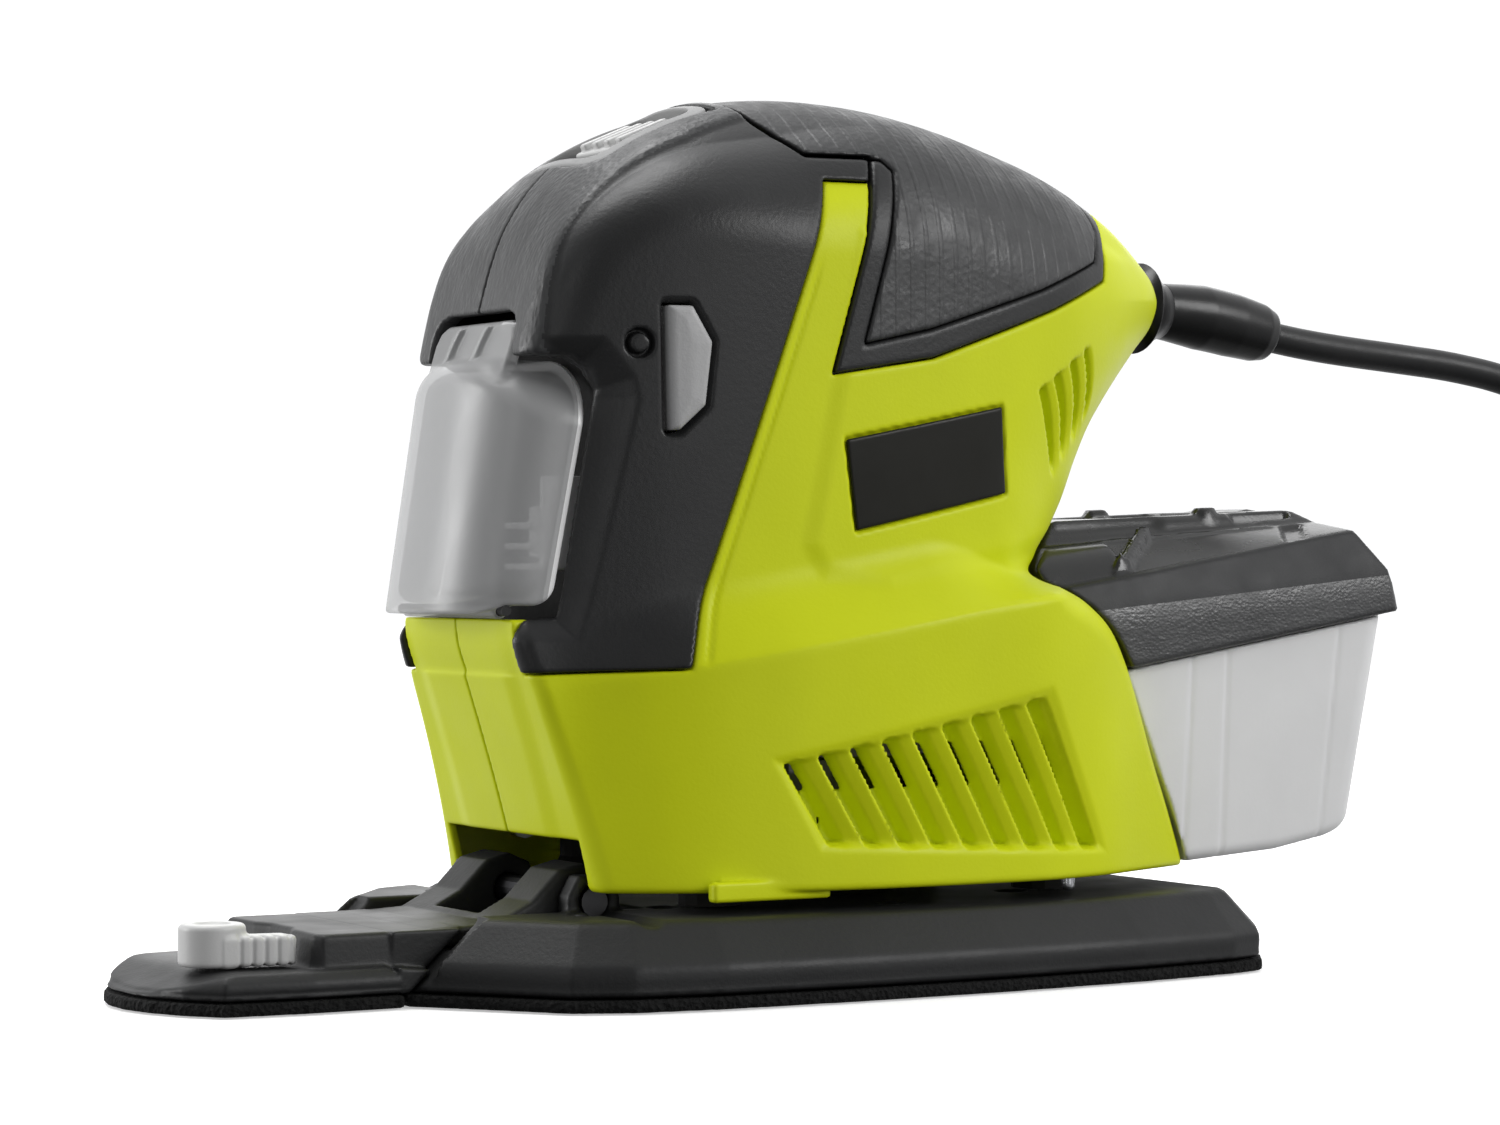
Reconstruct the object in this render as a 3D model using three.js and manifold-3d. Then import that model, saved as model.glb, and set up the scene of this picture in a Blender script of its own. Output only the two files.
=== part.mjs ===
// Detail mouse sander: a palm sander with a tilting, detachable nose platen, an orbital main platen,
// a see-through storage cover at the front and a clip-on dust box behind.
// Units are millimetres, +Z up. The nose points along -X and the tool's left side is -Y.
import * as THREE from "three";
import { mergeVertices } from "three/addons/utils/BufferGeometryUtils.js";
import Module from "manifold-3d";

const wasm = await Module();
wasm.setup();
const { Manifold, Mesh: WMesh } = wasm;

// ---------- driving dimensions ----------
const BASE_Z = 17.8; // underside of the body
const WALL = 2.4; // body shell thickness
const GAP = 0.3; // clearance between touching pieces
const MOTOR_X = 8; // motor axis, on the centre plane
const ORBIT_R = 1.0; // eccentric throw of the platen
const PIVOT = [-44, 16]; // nose hinge axis, x z
const COVER_PIN = [-59, 65.2]; // storage cover hinge axis, x z
const BOX_TILT = (10 * Math.PI) / 180; // the dust box rises to the rear
const CORD_D = 6.0; // mains lead diameter
const COIL = { x: 192, y: -63, r: 33, band: 12.2, h: 18.4 };

// side outline of the body on the centre plane, x z, from the front bottom corner up and over
const SIDE = [
  [-46, 8], [-46.6, 17.5], [-48.2, 25], [-51.5, 37], [-56.2, 52], [-58.8, 60], [-59.2, 68], [-58.6, 80], [-57.2, 95], [-55.4, 108],
  [-52.9, 118.6], [-49.3, 129.3], [-45, 136.3], [-40.5, 141.2], [-37.2, 143.8], [-30.5, 147.8], [-22.5, 151.4], [-14.4, 153.9],
  [-6.2, 155.3], [2, 155.6], [12, 154.9], [27.5, 152.4], [36.2, 150.4], [44.9, 147.9], [53.8, 144.8], [62.8, 141], [71.9, 136.6],
  [79.6, 131.4], [84.3, 127], [86, 122], [84, 116.6], [79.5, 112], [73, 105.5], [66.8, 98.6], [61.2, 91], [56.6, 84], [51.6, 78], [47.8, 73],
  [47.4, 70], [50.4, 67], [55.6, 62.2], [59.6, 55.5], [62.2, 50], [67.6, 38], [72.6, 28], [77.4, 17.5], [80, 8],
];
// half-widths along the body, low down and at grip height, and the rounding between side and outline
const W_LOW = [[-62, 25], [-52, 26.5], [-46, 30], [-38, 35.5], [-28, 40], [-15, 43.8], [0, 45.6], [15, 46], [35, 45.2], [50, 42], [62, 37], [72, 31], [82, 25]];
const W_UP = [[-62, 24], [-55, 24.8], [-49, 26.8], [-42, 29.6], [-34, 32.4], [-24, 34.4], [-12, 35.6], [5, 36], [20, 35.5], [35, 34], [50, 30.5], [62, 25.5], [72, 19.5], [80, 14.5], [90, 10]];
const R_UP = [[-62, 6], [-48, 7], [-38, 11], [-25, 19], [-8, 28], [0, 29], [40, 28], [60, 21], [75, 15], [90, 9]];
const R_LOW = [[-62, 3], [-40, 3], [0, 6], [50, 8], [80, 8]];

const lut = (t, x) => {
  if (x <= t[0][0]) return t[0][1];
  for (let i = 1; i < t.length; i++)
    if (x <= t[i][0]) {
      const u = (x - t[i - 1][0]) / (t[i][0] - t[i - 1][0]);
      return t[i - 1][1] + (t[i][1] - t[i - 1][1]) * u;
    }
  return t[t.length - 1][1];
};
const smooth = (u) => ((u = Math.min(1, Math.max(0, u))), u * u * (3 - 2 * u));

function polyDist(p, x, z) {
  // signed distance to a closed polygon, negative inside
  let d = Infinity,
    inside = false;
  for (let i = 0, j = p.length - 1; i < p.length; j = i++) {
    const [ax, az] = p[j],
      [bx, bz] = p[i];
    const ex = bx - ax,
      ez = bz - az,
      wx = x - ax,
      wz = z - az;
    const t = Math.min(1, Math.max(0, (wx * ex + wz * ez) / (ex * ex + ez * ez)));
    d = Math.min(d, Math.hypot(wx - ex * t, wz - ez * t));
    if (az > z !== bz > z && x < ((bx - ax) * (z - az)) / (bz - az) + ax) inside = !inside;
  }
  return inside ? -d : d;
}
const shoulder = (x) => 52 + (x + 54) * 0.176; // height of the crease where the base flares out
const halfWidth = (x, z) => {
  const s = smooth((z - shoulder(x)) / 14);
  return lut(W_LOW, x) * (1 - s) + lut(W_UP, x) * s;
};
const rounding = (x, z) => {
  const s = smooth((z - 62) / 38);
  return lut(R_LOW, x) * (1 - s) + lut(R_UP, x) * s;
};
function bodyDist(x, y, z) {
  const a = polyDist(SIDE, x, z),
    b = Math.abs(y) - halfWidth(x, z),
    r = rounding(x, z);
  return Math.min(-r, Math.max(a, b)) + Math.hypot(Math.max(r + a, 0), Math.max(r + b, 0));
}

// ---------- small solid-modelling helpers ----------
function solid(geometry) {
  const g = geometry.clone();
  for (const n of Object.keys(g.attributes)) if (n !== "position") g.deleteAttribute(n);
  const m = mergeVertices(g, 1e-4);
  return new Manifold(new WMesh({ numProp: 3, vertProperties: new Float32Array(m.attributes.position.array), triVerts: new Uint32Array(m.index.array) }));
}
function geometryOf(m) {
  const q = m.getMesh();
  const g = new THREE.BufferGeometry();
  const n = q.vertProperties.length / q.numProp;
  const pos = new Float32Array(n * 3);
  for (let i = 0; i < n; i++) for (let k = 0; k < 3; k++) pos[3 * i + k] = q.vertProperties[i * q.numProp + k];
  g.setAttribute("position", new THREE.BufferAttribute(pos, 3));
  g.setIndex(new THREE.BufferAttribute(new Uint32Array(q.triVerts), 1));
  g.computeVertexNormals();
  return g;
}
const cut = (a, ...b) => b.reduce((s, o) => s.subtract(o), a);
const join = (a, ...b) => b.reduce((s, o) => s.add(o), a);
const both = (a, b) => a.intersect(b);

function shapeOf(pts) {
  const s = new THREE.Shape();
  const area = pts.reduce((t, p, i) => t + p[0] * pts[(i + 1) % pts.length][1] - pts[(i + 1) % pts.length][0] * p[1], 0);
  const q = area < 0 ? [...pts].reverse() : pts;
  s.moveTo(q[0][0], q[0][1]);
  for (const p of q.slice(1)) s.lineTo(p[0], p[1]);
  s.closePath();
  return s;
}
// prism from an x z outline, between two y values
function alongY(pts, y0, y1) {
  const g = new THREE.ExtrudeGeometry(shapeOf(pts), { depth: y1 - y0, bevelEnabled: false });
  g.rotateX(Math.PI / 2);
  g.translate(0, y1, 0);
  return solid(g);
}
// prism from an x y outline, between two z values
function alongZ(pts, z0, z1) {
  const g = new THREE.ExtrudeGeometry(shapeOf(pts), { depth: z1 - z0, bevelEnabled: false });
  g.translate(0, 0, z0);
  return solid(g);
}
// prism from a y z outline, between two x values
function alongX(pts, x0, x1) {
  const g = new THREE.ExtrudeGeometry(shapeOf(pts), { depth: x1 - x0, bevelEnabled: false });
  g.applyMatrix4(new THREE.Matrix4().set(0, 0, 1, x0, 1, 0, 0, 0, 0, 1, 0, 0, 0, 0, 0, 1));
  return solid(g);
}
function block(x0, x1, y0, y1, z0, z1) {
  const g = new THREE.BoxGeometry(x1 - x0, y1 - y0, z1 - z0);
  g.translate((x0 + x1) / 2, (y0 + y1) / 2, (z0 + z1) / 2);
  return solid(g);
}
// turned ring or disc about a vertical axis; profile is r z pairs
function turned(profile, n, x = MOTOR_X, y = 0) {
  const pts = profile.map((p) => new THREE.Vector2(p[0], p[1]));
  if (profile[0][0] > 0) pts.push(pts[0].clone());
  const g = new THREE.LatheGeometry(pts, n);
  g.rotateX(Math.PI / 2);
  g.translate(x, y, 0);
  let m = solid(g);
  return m;
}
const ring = (r0, r1, z0, z1, n = 24, x = MOTOR_X, y = 0) =>
  r0 > 0
    ? turned([[r0, z0], [r1, z0], [r1, z1], [r0, z1]], n, x, y)
    : turned([[0, z0], [r1, z0], [r1, z1], [0, z1]], n, x, y);
// round bar between two points
function bar(a, b, r, n = 16) {
  const va = new THREE.Vector3(...a),
    vb = new THREE.Vector3(...b);
  const g = new THREE.CylinderGeometry(r, r, va.distanceTo(vb), n);
  g.applyQuaternion(new THREE.Quaternion().setFromUnitVectors(new THREE.Vector3(0, 1, 0), vb.clone().sub(va).normalize()));
  g.translate(...va.clone().add(vb).multiplyScalar(0.5).toArray());
  return solid(g);
}
// skin over stacked closed loops of equal point counts, capped flat
function loft(loops) {
  const n = loops[0].length,
    pos = [],
    idx = [];
  for (const l of loops) for (const p of l) pos.push(...p);
  for (let i = 0; i + 1 < loops.length; i++)
    for (let j = 0; j < n; j++) {
      const a = i * n + j,
        b = i * n + ((j + 1) % n),
        c = a + n,
        d = b + n;
      idx.push(a, b, d, a, d, c);
    }
  const cap = (k, flip) => {
    const c = pos.length / 3,
      l = loops[k];
    pos.push(...[0, 1, 2].map((q) => l.reduce((s, p) => s + p[q], 0) / n));
    for (let j = 0; j < n; j++) {
      const a = k * n + j,
        b = k * n + ((j + 1) % n);
      flip ? idx.push(c, b, a) : idx.push(c, a, b);
    }
  };
  cap(0, true);
  cap(loops.length - 1, false);
  const g = new THREE.BufferGeometry();
  g.setAttribute("position", new THREE.Float32BufferAttribute(pos, 3));
  g.setIndex(idx);
  return solid(g);
}
// outline moved outwards by d (miter joints)
function grow(pts, d) {
  const area = pts.reduce((t, p, i) => t + p[0] * pts[(i + 1) % pts.length][1] - pts[(i + 1) % pts.length][0] * p[1], 0);
  const q = area < 0 ? [...pts].reverse() : pts,
    n = q.length;
  return q.map((p, i) => {
    const a = q[(i + n - 1) % n],
      b = q[(i + 1) % n];
    const e1 = [p[0] - a[0], p[1] - a[1]],
      e2 = [b[0] - p[0], b[1] - p[1]];
    const l1 = Math.hypot(...e1),
      l2 = Math.hypot(...e2);
    const n1 = [e1[1] / l1, -e1[0] / l1],
      n2 = [e2[1] / l2, -e2[0] / l2];
    const k = d / Math.max(0.35, 1 + n1[0] * n2[0] + n1[1] * n2[1]);
    return [p[0] + (n1[0] + n2[0]) * k, p[1] + (n1[1] + n2[1]) * k];
  });
}
const mirrorY = (m) => m.mirror([0, 1, 0]);

// the body's outer or inner skin as a closed solid: rays from the middle of each level
const RAYS = 40;
const LEVELS = [17.8, 24, 34, 44, 51, 55, 59, 63, 67, 71, 78, 86, 94, 102, 109, 115, 120, 125, 130, 135, 139.5, 143.5, 147, 150, 152.4, 154.2, 155.3];
function skin(inset, levels) {
  const loops = levels.map((z) => {
    const cx = z < 140 ? 8 : 5;
    const out = [];
    for (let k = 0; k < RAYS; k++) {
      const t = (2 * Math.PI * k) / RAYS;
      let dx = 70 * Math.cos(t),
        dy = 36 * Math.sin(t);
      const l = Math.hypot(dx, dy);
      dx /= l;
      dy /= l;
      let lo = 0,
        hi = 110;
      for (let i = 0; i < 34; i++) {
        const mid = (lo + hi) / 2;
        if (bodyDist(cx + dx * mid, dy * mid, z) + inset < 0) lo = mid;
        else hi = mid;
      }
      out.push([cx + dx * lo, dy * lo, z]);
    }
    return out;
  });
  return loft(loops);
}

// ---------- materials ----------
const mat = (color, roughness, metalness = 0, extra = {}) => new THREE.MeshStandardMaterial({ color, roughness, metalness, ...extra });
const LIME = mat(0xb2c81c, 0.5),
  BLACK = mat(0x2b2c2e, 0.55),
  SOFT = mat(0x3c3d3f, 0.85),
  GREY = mat(0x8c8c8c, 0.5),
  PALE = mat(0xd8d8d6, 0.45),
  FROST = mat(0xd0d4d6, 0.3, 0, { transparent: true, opacity: 0.5 }),
  PLATEN = mat(0x3a3c3e, 0.6),
  PAD = mat(0x151515, 0.95),
  STEEL = mat(0xa8abb0, 0.3, 1),
  COPPER = mat(0xb06a34, 0.4, 1),
  PAPER = mat(0xece6d6, 0.9),
  CORD = mat(0x121212, 0.6);

const root = new THREE.Group();
function put(name, m, material) {
  const mesh = new THREE.Mesh(geometryOf(m), material);
  mesh.name = name;
  root.add(mesh);
  return mesh;
}

// ---------- body shells ----------
const outer = skin(0, LEVELS);
const inner = skin(WALL, [17.0, ...LEVELS.filter((z) => z > 18 && z < 151), 152.6]);
// side regions, x z: front cover, grip
const COVER_XZ = [[-90, 53.4], [-32.6, 55.4], [-3.1, 139.2], [5.6, 139.2], [7.3, 143.6], [-4.8, 143.6], [-10, 149.3], [-12.7, 154.4], [-12.7, 190], [-90, 190]];
const GRIP_XZ = [[-12.4, 190], [-12.4, 154.5], [-9.7, 149.6], [-4.6, 143.9], [7.7, 143.9], [6, 139.2], [-3.7, 105.6], [16.5, 108.8], [44.3, 118.2], [59, 124.2], [61.4, 130.6], [65, 137.6], [70, 190]];
const coverSlab = alongY(COVER_XZ, -70, 70);
const coverRoom = alongY(grow(COVER_XZ, GAP), -71, 71);
const gripSlab = alongY(GRIP_XZ, -70, 70);
const gripRoom = alongY(grow(GRIP_XZ, GAP), -71, 71);
// the lime column under the storage cover, between the cheeks
const columnSlab = block(-80, -20, -21.4, 21.4, 10, 63.7);
const columnRoom = block(-80, -19.7, -21.7, 21.7, 10, 64);
// pocket for the storage cover, with the arch for its finger tab
const POCKET_YZ = [[-23.4, 64], [23.4, 64], [23.4, 106], [21, 109.3], [12.3, 110.5], [12.3, 113.5], [9, 116.6], [-9, 116.6], [-12.3, 113.5], [-12.3, 110.5], [-21, 109.3], [-23.4, 106]];
const pocket = alongX(POCKET_YZ, -80, -39.6);
const shell = cut(outer, inner);

// slots through the sides: nine slanted louvres low down and four curved vents behind
const louvres = [];
for (let i = 0; i < 9; i++) {
  const t = i / 8;
  const xt = -14 + t * 44.5,
    zt = 38.2 + t * 8.6,
    xb = xt + 11.6,
    zb = 27.4 - t * 2.4;
  louvres.push([[xt, zt], [xt + 3.2, zt + 0.5], [xb + 3.2, zb], [xb, zb + 0.2]]);
}
const ventCurve = (i) => {
  const x0 = 41.6 + i * 4.7,
    z0 = 104.4 + i * 2.7;
  const xe = 47.6 + i * 1.6,
    ze = 91 + i * 1.1;
  return [[x0, z0], [x0 + 3.3, z0 + 0.8], [(x0 + xe) / 2 + 3.2, (z0 + ze) / 2], [xe + 1.3, ze], [xe, ze], [(x0 + xe) / 2 + 0.6, (z0 + ze) / 2]];
};
const sideCuts = [...louvres, ...[0, 1, 2, 3].map(ventCurve)].map((p) => alongY(p, -70, -12));
// badge recess and release-button hole on each side
const BADGE = [[-1.4, 94.4], [31.4, 100.7], [32.4, 85.5], [0.6, 78.8]];
const badgeRoom = both(alongY(grow(BADGE, GAP), -70, -5), cut(skin(-3, LEVELS), skin(1.0, LEVELS)));
const badgeBody = both(alongY(BADGE, -70, -5), cut(skin(-0.25, LEVELS), skin(0.7, LEVELS)));
const BUTTON = [[-34.5, 116.6], [-30.4, 116.6], [-27, 110.5], [-28.2, 99.8], [-32.6, 95.6], [-34.0, 95.6]];
const SCREW_AT = [[-38, 110.4]];
// switch opening on the front slope of the top
const SLOPE = Math.atan2(10.2, 24);
const slopeAt = (x, lift = 0) => [x - Math.sin(SLOPE) * lift, 147.2 + (x + 30.5) * Math.tan(SLOPE) + Math.cos(SLOPE) * lift];
const sideOf = (x0, x1, lo, hi) => [slopeAt(x0, lo), slopeAt(x1, lo), slopeAt(x1, hi), slopeAt(x0, hi)];
const switchHole = alongY(sideOf(-38, -17.5, -9, 14), -9.6, 9.6);
// gland hole at the rear of the grip and dust outlet hole low at the rear
const glandHole = bar([70, 0, 122.6], [100, 0, 120.6], 6.2, 20);
const outletDir = [Math.cos(BOX_TILT), 0, Math.sin(BOX_TILT)];
const OUT0 = [50, 0, 58.4];
const along = (s) => [OUT0[0] + outletDir[0] * s, 0, OUT0[2] + outletDir[2] * s];
const outletHole = bar(along(-3), along(24), 6.8, 20);
// room for the nose arm and hinge under the front
const noseRoom = alongY([[-80, 0], [-80, 26.5], [-36, 26.5], [-33, 23], [-33, 0]], -25, 25);

const bodyShell = cut(shell, coverRoom, gripRoom, switchHole, glandHole, outletHole, noseRoom, block(-90, -30, -21.7, 21.7, 63.7, 130));
const columnShell = cut(both(shell, alongY([[-90, 40], [-20, 40], [-20, 64], [-90, 64]], -21.4, 21.4)), noseRoom);
let housing = join(bodyShell, columnShell);
const nearHalf = block(-150, 150, -90, -GAP / 2, -10, 200);
const farHalf = block(-150, 150, GAP / 2, 90, -10, 200);
const biggest = (m) => m.decompose().sort((a, b) => b.volume() - a.volume())[0];
const leftSideCuts = [...sideCuts, badgeRoom];
put("left_housing", biggest(cut(both(housing, nearHalf), ...leftSideCuts)), LIME);
put("right_housing", biggest(cut(both(housing, farHalf), ...leftSideCuts.map(mirrorY))), LIME);

const buttonHole = alongY(grow(BUTTON, 0.4), -60, -12);
const screwHole = bar([-38, -60, 110.4], [-38, -15, 110.4], 2.3, 12);
const switchSurroundRoom = alongY(sideOf(-40.5, -14.9, -1.4, 14), -11.4, 11.4);
// beside the storage cover the cheeks stand back to its rear edge
const cheekCut = alongY([[-90, 66.2], [-52.6, 66.2], [-50.2, 68.4], [-44.6, 102], [-46.4, 106.5], [-50, 108.2], [-90, 108.2]], -60, 60);
const coverShell = cut(both(shell, coverSlab), pocket, columnRoom, switchHole, switchSurroundRoom, cheekCut);
put("front_cover_left", biggest(cut(both(coverShell, nearHalf), buttonHole, screwHole)), BLACK);
put("front_cover_right", biggest(cut(both(coverShell, farHalf), mirrorY(buttonHole), mirrorY(screwHole))), BLACK);
put("grip_overmould", biggest(both(shell, gripSlab)), SOFT);
put("badge_left", biggest(badgeBody), BLACK);
put("badge_right", biggest(mirrorY(badgeBody)), BLACK);

// ---------- switch ----------
const surround = cut(both(cut(skin(-0.3, LEVELS), skin(1.1, LEVELS)), alongY(sideOf(-40.2, -15.2, -1.1, 14), -11.1, 11.1)), switchHole);
put("switch_surround", biggest(surround), GREY);
const slider = join(
  alongY(sideOf(-31.8, -19.8, -3.6, -0.8), -7.4, 7.4),
  ...[-5.4, -1.8, 1.8, 5.4].map((y) => alongY(sideOf(-31, -20.6, -1.2, 0.5), y - 0.8, y + 0.8)),
);
put("on_off_switch", slider, PALE);
put("switch_link", alongY(sideOf(-27, -21.5, -12, -3.9), -2, 2), PALE);
put("switch_module", block(-27, -9, -7, 7, 118, 132), BLACK);

// ---------- front storage ----------
// plan section of the storage cover: flat-fronted half round; it leans forward towards the bottom
const lean = (z) => (z - 84) * 0.156;
function coverLoop(z, inset, back) {
  const hw = 22.9 - inset,
    front = -64.6 + lean(z) + inset,
    depth = 17.4 - inset;
  const pts = [];
  for (let k = 0; k <= 20; k++) {
    const t = -Math.PI / 2 + (Math.PI * k) / 20;
    const cs = Math.cos(t),
      sn = Math.sin(t);
    pts.push([front + depth * (1 - Math.pow(Math.abs(cs), 2 / 2.5)), hw * Math.sign(sn) * Math.pow(Math.abs(sn), 2 / 2.5), z]);
  }
  pts.push([back + lean(z), hw, z], [back + lean(z), -hw, z]);
  return pts.reverse();
}
const scOuter = loft([66.4, 68.2, 86, 104, 107].map((z, i) => coverLoop(z, i === 0 ? 1.5 : i === 4 ? 2.2 : 0, -38)));
const scInner = loft([68.2, 86, 105].map((z) => coverLoop(z, 1.6, -34)));
const scTab = cut(alongX([[-11.6, 104.5], [11.6, 104.5], [11.6, 112.5], [8.6, 115.6], [-8.6, 115.6], [-11.6, 112.5]], -57.2, -54.6), scInner);
const scTabFoot = block(-62.5, -54.6, -11.6, 11.6, 104.4, 106.6);
const scTrim = cut(alongY([[-90, 60], [-90, 125], [-41.6, 125], [-50.6, 66], [-50.6, 60]], -40, 40), block(-53.6, -40, -21.1, 21.1, 60, 70));
put("storage_cover", biggest(both(cut(join(scOuter, cut(scTabFoot, scInner)), scInner), scTrim).add(scTab)), FROST);
put("storage_cover_pin", bar([COVER_PIN[0], -20.6, COVER_PIN[1]], [COVER_PIN[0], 20.6, COVER_PIN[1]], 0.9, 12), STEEL);
// tray behind the cover: back plate, floor and small shelves for folded sheets
const tray = join(
  block(-42.4, -40.6, -22.4, 22.4, 60.5, 114),
  block(-55.5, -41, -20.6, 20.6, 61.2, 62.8),
  block(-52, -41, -20.2, -18.6, 72, 88),
  ...[72, 75.5, 79].map((z) => block(-54, -41, -19.2, -9, z, z + 1.1)),
);
const trayFit = cut(tray, cut(skin(-20, LEVELS), skin(WALL + 0.4, [16, ...LEVELS.filter((z) => z > 18 && z < 151)])));
put("storage_tray", biggest(trayFit), BLACK);

// ---------- release buttons (one on each side) ----------
const buttonSolid = both(alongY(BUTTON, -60, -14), cut(skin(-1.5, LEVELS), skin(6, LEVELS.filter((z) => z < 150))));
put("release_button_left", biggest(buttonSolid), GREY);
put("release_button_right", biggest(mirrorY(buttonSolid)), GREY);
const coverScrew = join(bar([-38, -26.2, 110.4], [-38, -24.4, 110.4], 2.0, 10), bar([-38, -24.6, 110.4], [-38, -13, 110.4], 1.1, 8));
put("cover_screw_left", coverScrew, STEEL);
put("cover_screw_right", mirrorY(coverScrew), STEEL);

// ---------- motor ----------
put("motor_shaft", ring(0, 4, 33, 134, 20), STEEL);
const segs = 12;
const rotorTeeth = [];
for (let i = 0; i < segs; i++) {
  const a = (2 * Math.PI * (i + 0.5)) / segs;
  rotorTeeth.push(
    bar([MOTOR_X + 14.8 * Math.cos(a), 14.8 * Math.sin(a), 71], [MOTOR_X + 14.8 * Math.cos(a), 14.8 * Math.sin(a), 107], 1.5, 6),
  );
}
put("armature", cut(ring(4.3, 14.6, 72, 106, 36), ...rotorTeeth), STEEL);
put("commutator", ring(4.3, 9, 109, 120, 24), COPPER);
put("stator", cut(ring(15.6, 26, 70, 108, 32), block(-30, 46, -27, -23.8, 60, 120), block(-30, 46, 23.8, 27, 60, 120)), STEEL);
put("upper_bearing", ring(4.3, 9.5, 126, 133, 24), STEEL);
put("upper_bearing_seat", join(cut(ring(9.8, 12.5, 125, 134, 24)), block(MOTOR_X - 2, MOTOR_X + 2, 12, 27, 126, 131), block(MOTOR_X - 2, MOTOR_X + 2, -27, -12, 126, 131)), BLACK);
put("lower_bearing", ring(4.3, 11, 56, 63, 24), STEEL);
const bridge = cut(join(ring(11.3, 15, 54, 65, 24), ring(12, 30, 56, 59, 24)), ...[0, 1, 2, 3, 4, 5].map((i) => {
  const a = (Math.PI * (i + 0.5)) / 3;
  return bar([MOTOR_X + 22 * Math.cos(a), 22 * Math.sin(a), 50], [MOTOR_X + 22 * Math.cos(a), 22 * Math.sin(a), 62], 4.2, 10);
}));
put("bearing_bridge", bridge, GREY);
// cooling and dust fan
const blades = [];
for (let i = 0; i < 9; i++) {
  const a = (2 * Math.PI * i) / 9,
    b = a + 0.5;
  const p = (r, t) => [MOTOR_X + r * Math.cos(t), r * Math.sin(t)];
  const i0 = p(9.5, a),
    i1 = p(9.5, a + 0.16),
    o0 = p(26.5, b),
    o1 = p(26.5, b + 0.055);
  blades.push(alongZ([i0, o0, o1, i1], 41.8, 50));
}
put("fan", join(ring(4.3, 11, 38.5, 50, 27), ring(10, 28, 39.5, 42, 36), ...blades), GREY);
// eccentric with its counterweight: the pin below is off the motor axis by the orbit radius
const EX = MOTOR_X + ORBIT_R;
const ecc = join(
  cut(ring(0, 10.5, 29, 38, 24), ring(0, 4.3, 32.7, 40, 20)),
  ring(0, 5, 15.2, 29.5, 20, EX),
  alongZ([[MOTOR_X - 4, -12], [MOTOR_X - 12, -17], [MOTOR_X - 20, -13], [MOTOR_X - 24, 0], [MOTOR_X - 20, 13], [MOTOR_X - 12, 17], [MOTOR_X - 4, 12]], 29, 36),
);
put("eccentric", cut(ecc, ring(0, 4.3, 32.7, 40, 20)), STEEL);
put("brush_holder_left", block(MOTOR_X - 4, MOTOR_X + 4, -26, -9.6, 111, 118), COPPER);
put("brush_holder_right", block(MOTOR_X - 4, MOTOR_X + 4, 9.6, 26, 111, 118), COPPER);
put("suppression_capacitor", block(36, 46, -10, 10, 82, 102), mat(0xc8b060, 0.5));
put("terminal_block", block(52, 66, -8, 8, 112, 121), PALE);

// ---------- platen ----------
const PLATEN_XY = [
  [-78.5, -22.6], [-67.5, -36], [-60, -45.6], [-50, -50.2], [-34, -52.7], [-10, -53.8], [20, -53.8], [50, -52], [72, -49], [79.4, -46.6], [85.4, -38],
];
const mirrored = (p) => [...p, ...[...p].reverse().map(([x, y]) => [x, -y])];
const inset = (p, d) => grow(p, -d);
const platenOutline = mirrored(PLATEN_XY);
const loopAt = (p, z) => {
  const area = p.reduce((t, q, i) => t + q[0] * p[(i + 1) % p.length][1] - p[(i + 1) % p.length][0] * q[1], 0);
  return (area < 0 ? [...p].reverse() : p).map(([x, y]) => [x, y, z]);
};
const platenBody = loft([loopAt(inset(platenOutline, 0.6), 2.5), loopAt(inset(platenOutline, 0.6), 7.2), loopAt(inset(platenOutline, 7.0), 14.4)]);
// the top is cut away under the nose arm; the front face slants to let the nose swing up
const armRoom = alongY([[-90, 8.9], [-33.5, 8.9], [-33.5, 30], [-90, 30]], -21.6, 21.6);
const noseEndRoom = alongY([[-95, -5], [-77.4, -5], [-77.4, 2.4], [-65.2, 13.5], [-65.2, 30], [-95, 30]], -60, 60);
const bearingSeat = cut(ring(0, 16, 14, 25.5, 28, EX), ring(0, 11.3, 14.5, 30, 28, EX));
const eccRoom = ring(0, 8.2, 11.5, 20, 20, EX);
// side lugs hold the nose hinge pin
const pinBore = bar([PIVOT[0], -30, PIVOT[1]], [PIVOT[0], 30, PIVOT[1]], 2.8, 14);
const lugs = (y0, y1) => cut(alongY([[-49, 8], [-39, 8], [-39, 17], [-41, 20.5], [-47, 20.5], [-49, 17]], y0, y1), pinBore);
let platen = cut(join(cut(join(platenBody, bearingSeat), armRoom, eccRoom), lugs(-23.8, -19.8), lugs(19.8, 23.8)), pinBore);
platen = cut(platen, both(noseEndRoom, block(-95, -60, -26, 26, -5, 30)));
const dustHoles = [[-30, 22], [-30, -22], [40, 24], [40, -24], [8, 34], [8, -34], [60, 0], [-48, 28], [-48, -28]];
const drill = (m) => cut(m, ...dustHoles.map(([x, y]) => bar([x, y, -1], [x, y, 16], 2.6, 8)));
put("main_platen", biggest(drill(platen)), PLATEN);
put("main_pad", biggest(drill(cut(loft([loopAt(platenOutline, 0), loopAt(platenOutline, 2.2)]), block(-95, -78.3, -60, 60, -1, 5)))), PAD);
put("platen_bearing", ring(5.1, 11, 14.8, 22.5, 24, EX), STEEL);
// four flexible posts carry the body on the platen
[[-22, -24], [-22, 24], [48, -22], [48, 22]].forEach(([x, y], i) =>
  put("platen_post_" + (i + 1), turned([[0, 14.7], [5.4, 14.7], [5.4, 17], [3.6, 20], [3.6, 30], [5, 32], [5, 34], [0, 34]], 14, x, y), SOFT));

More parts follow.
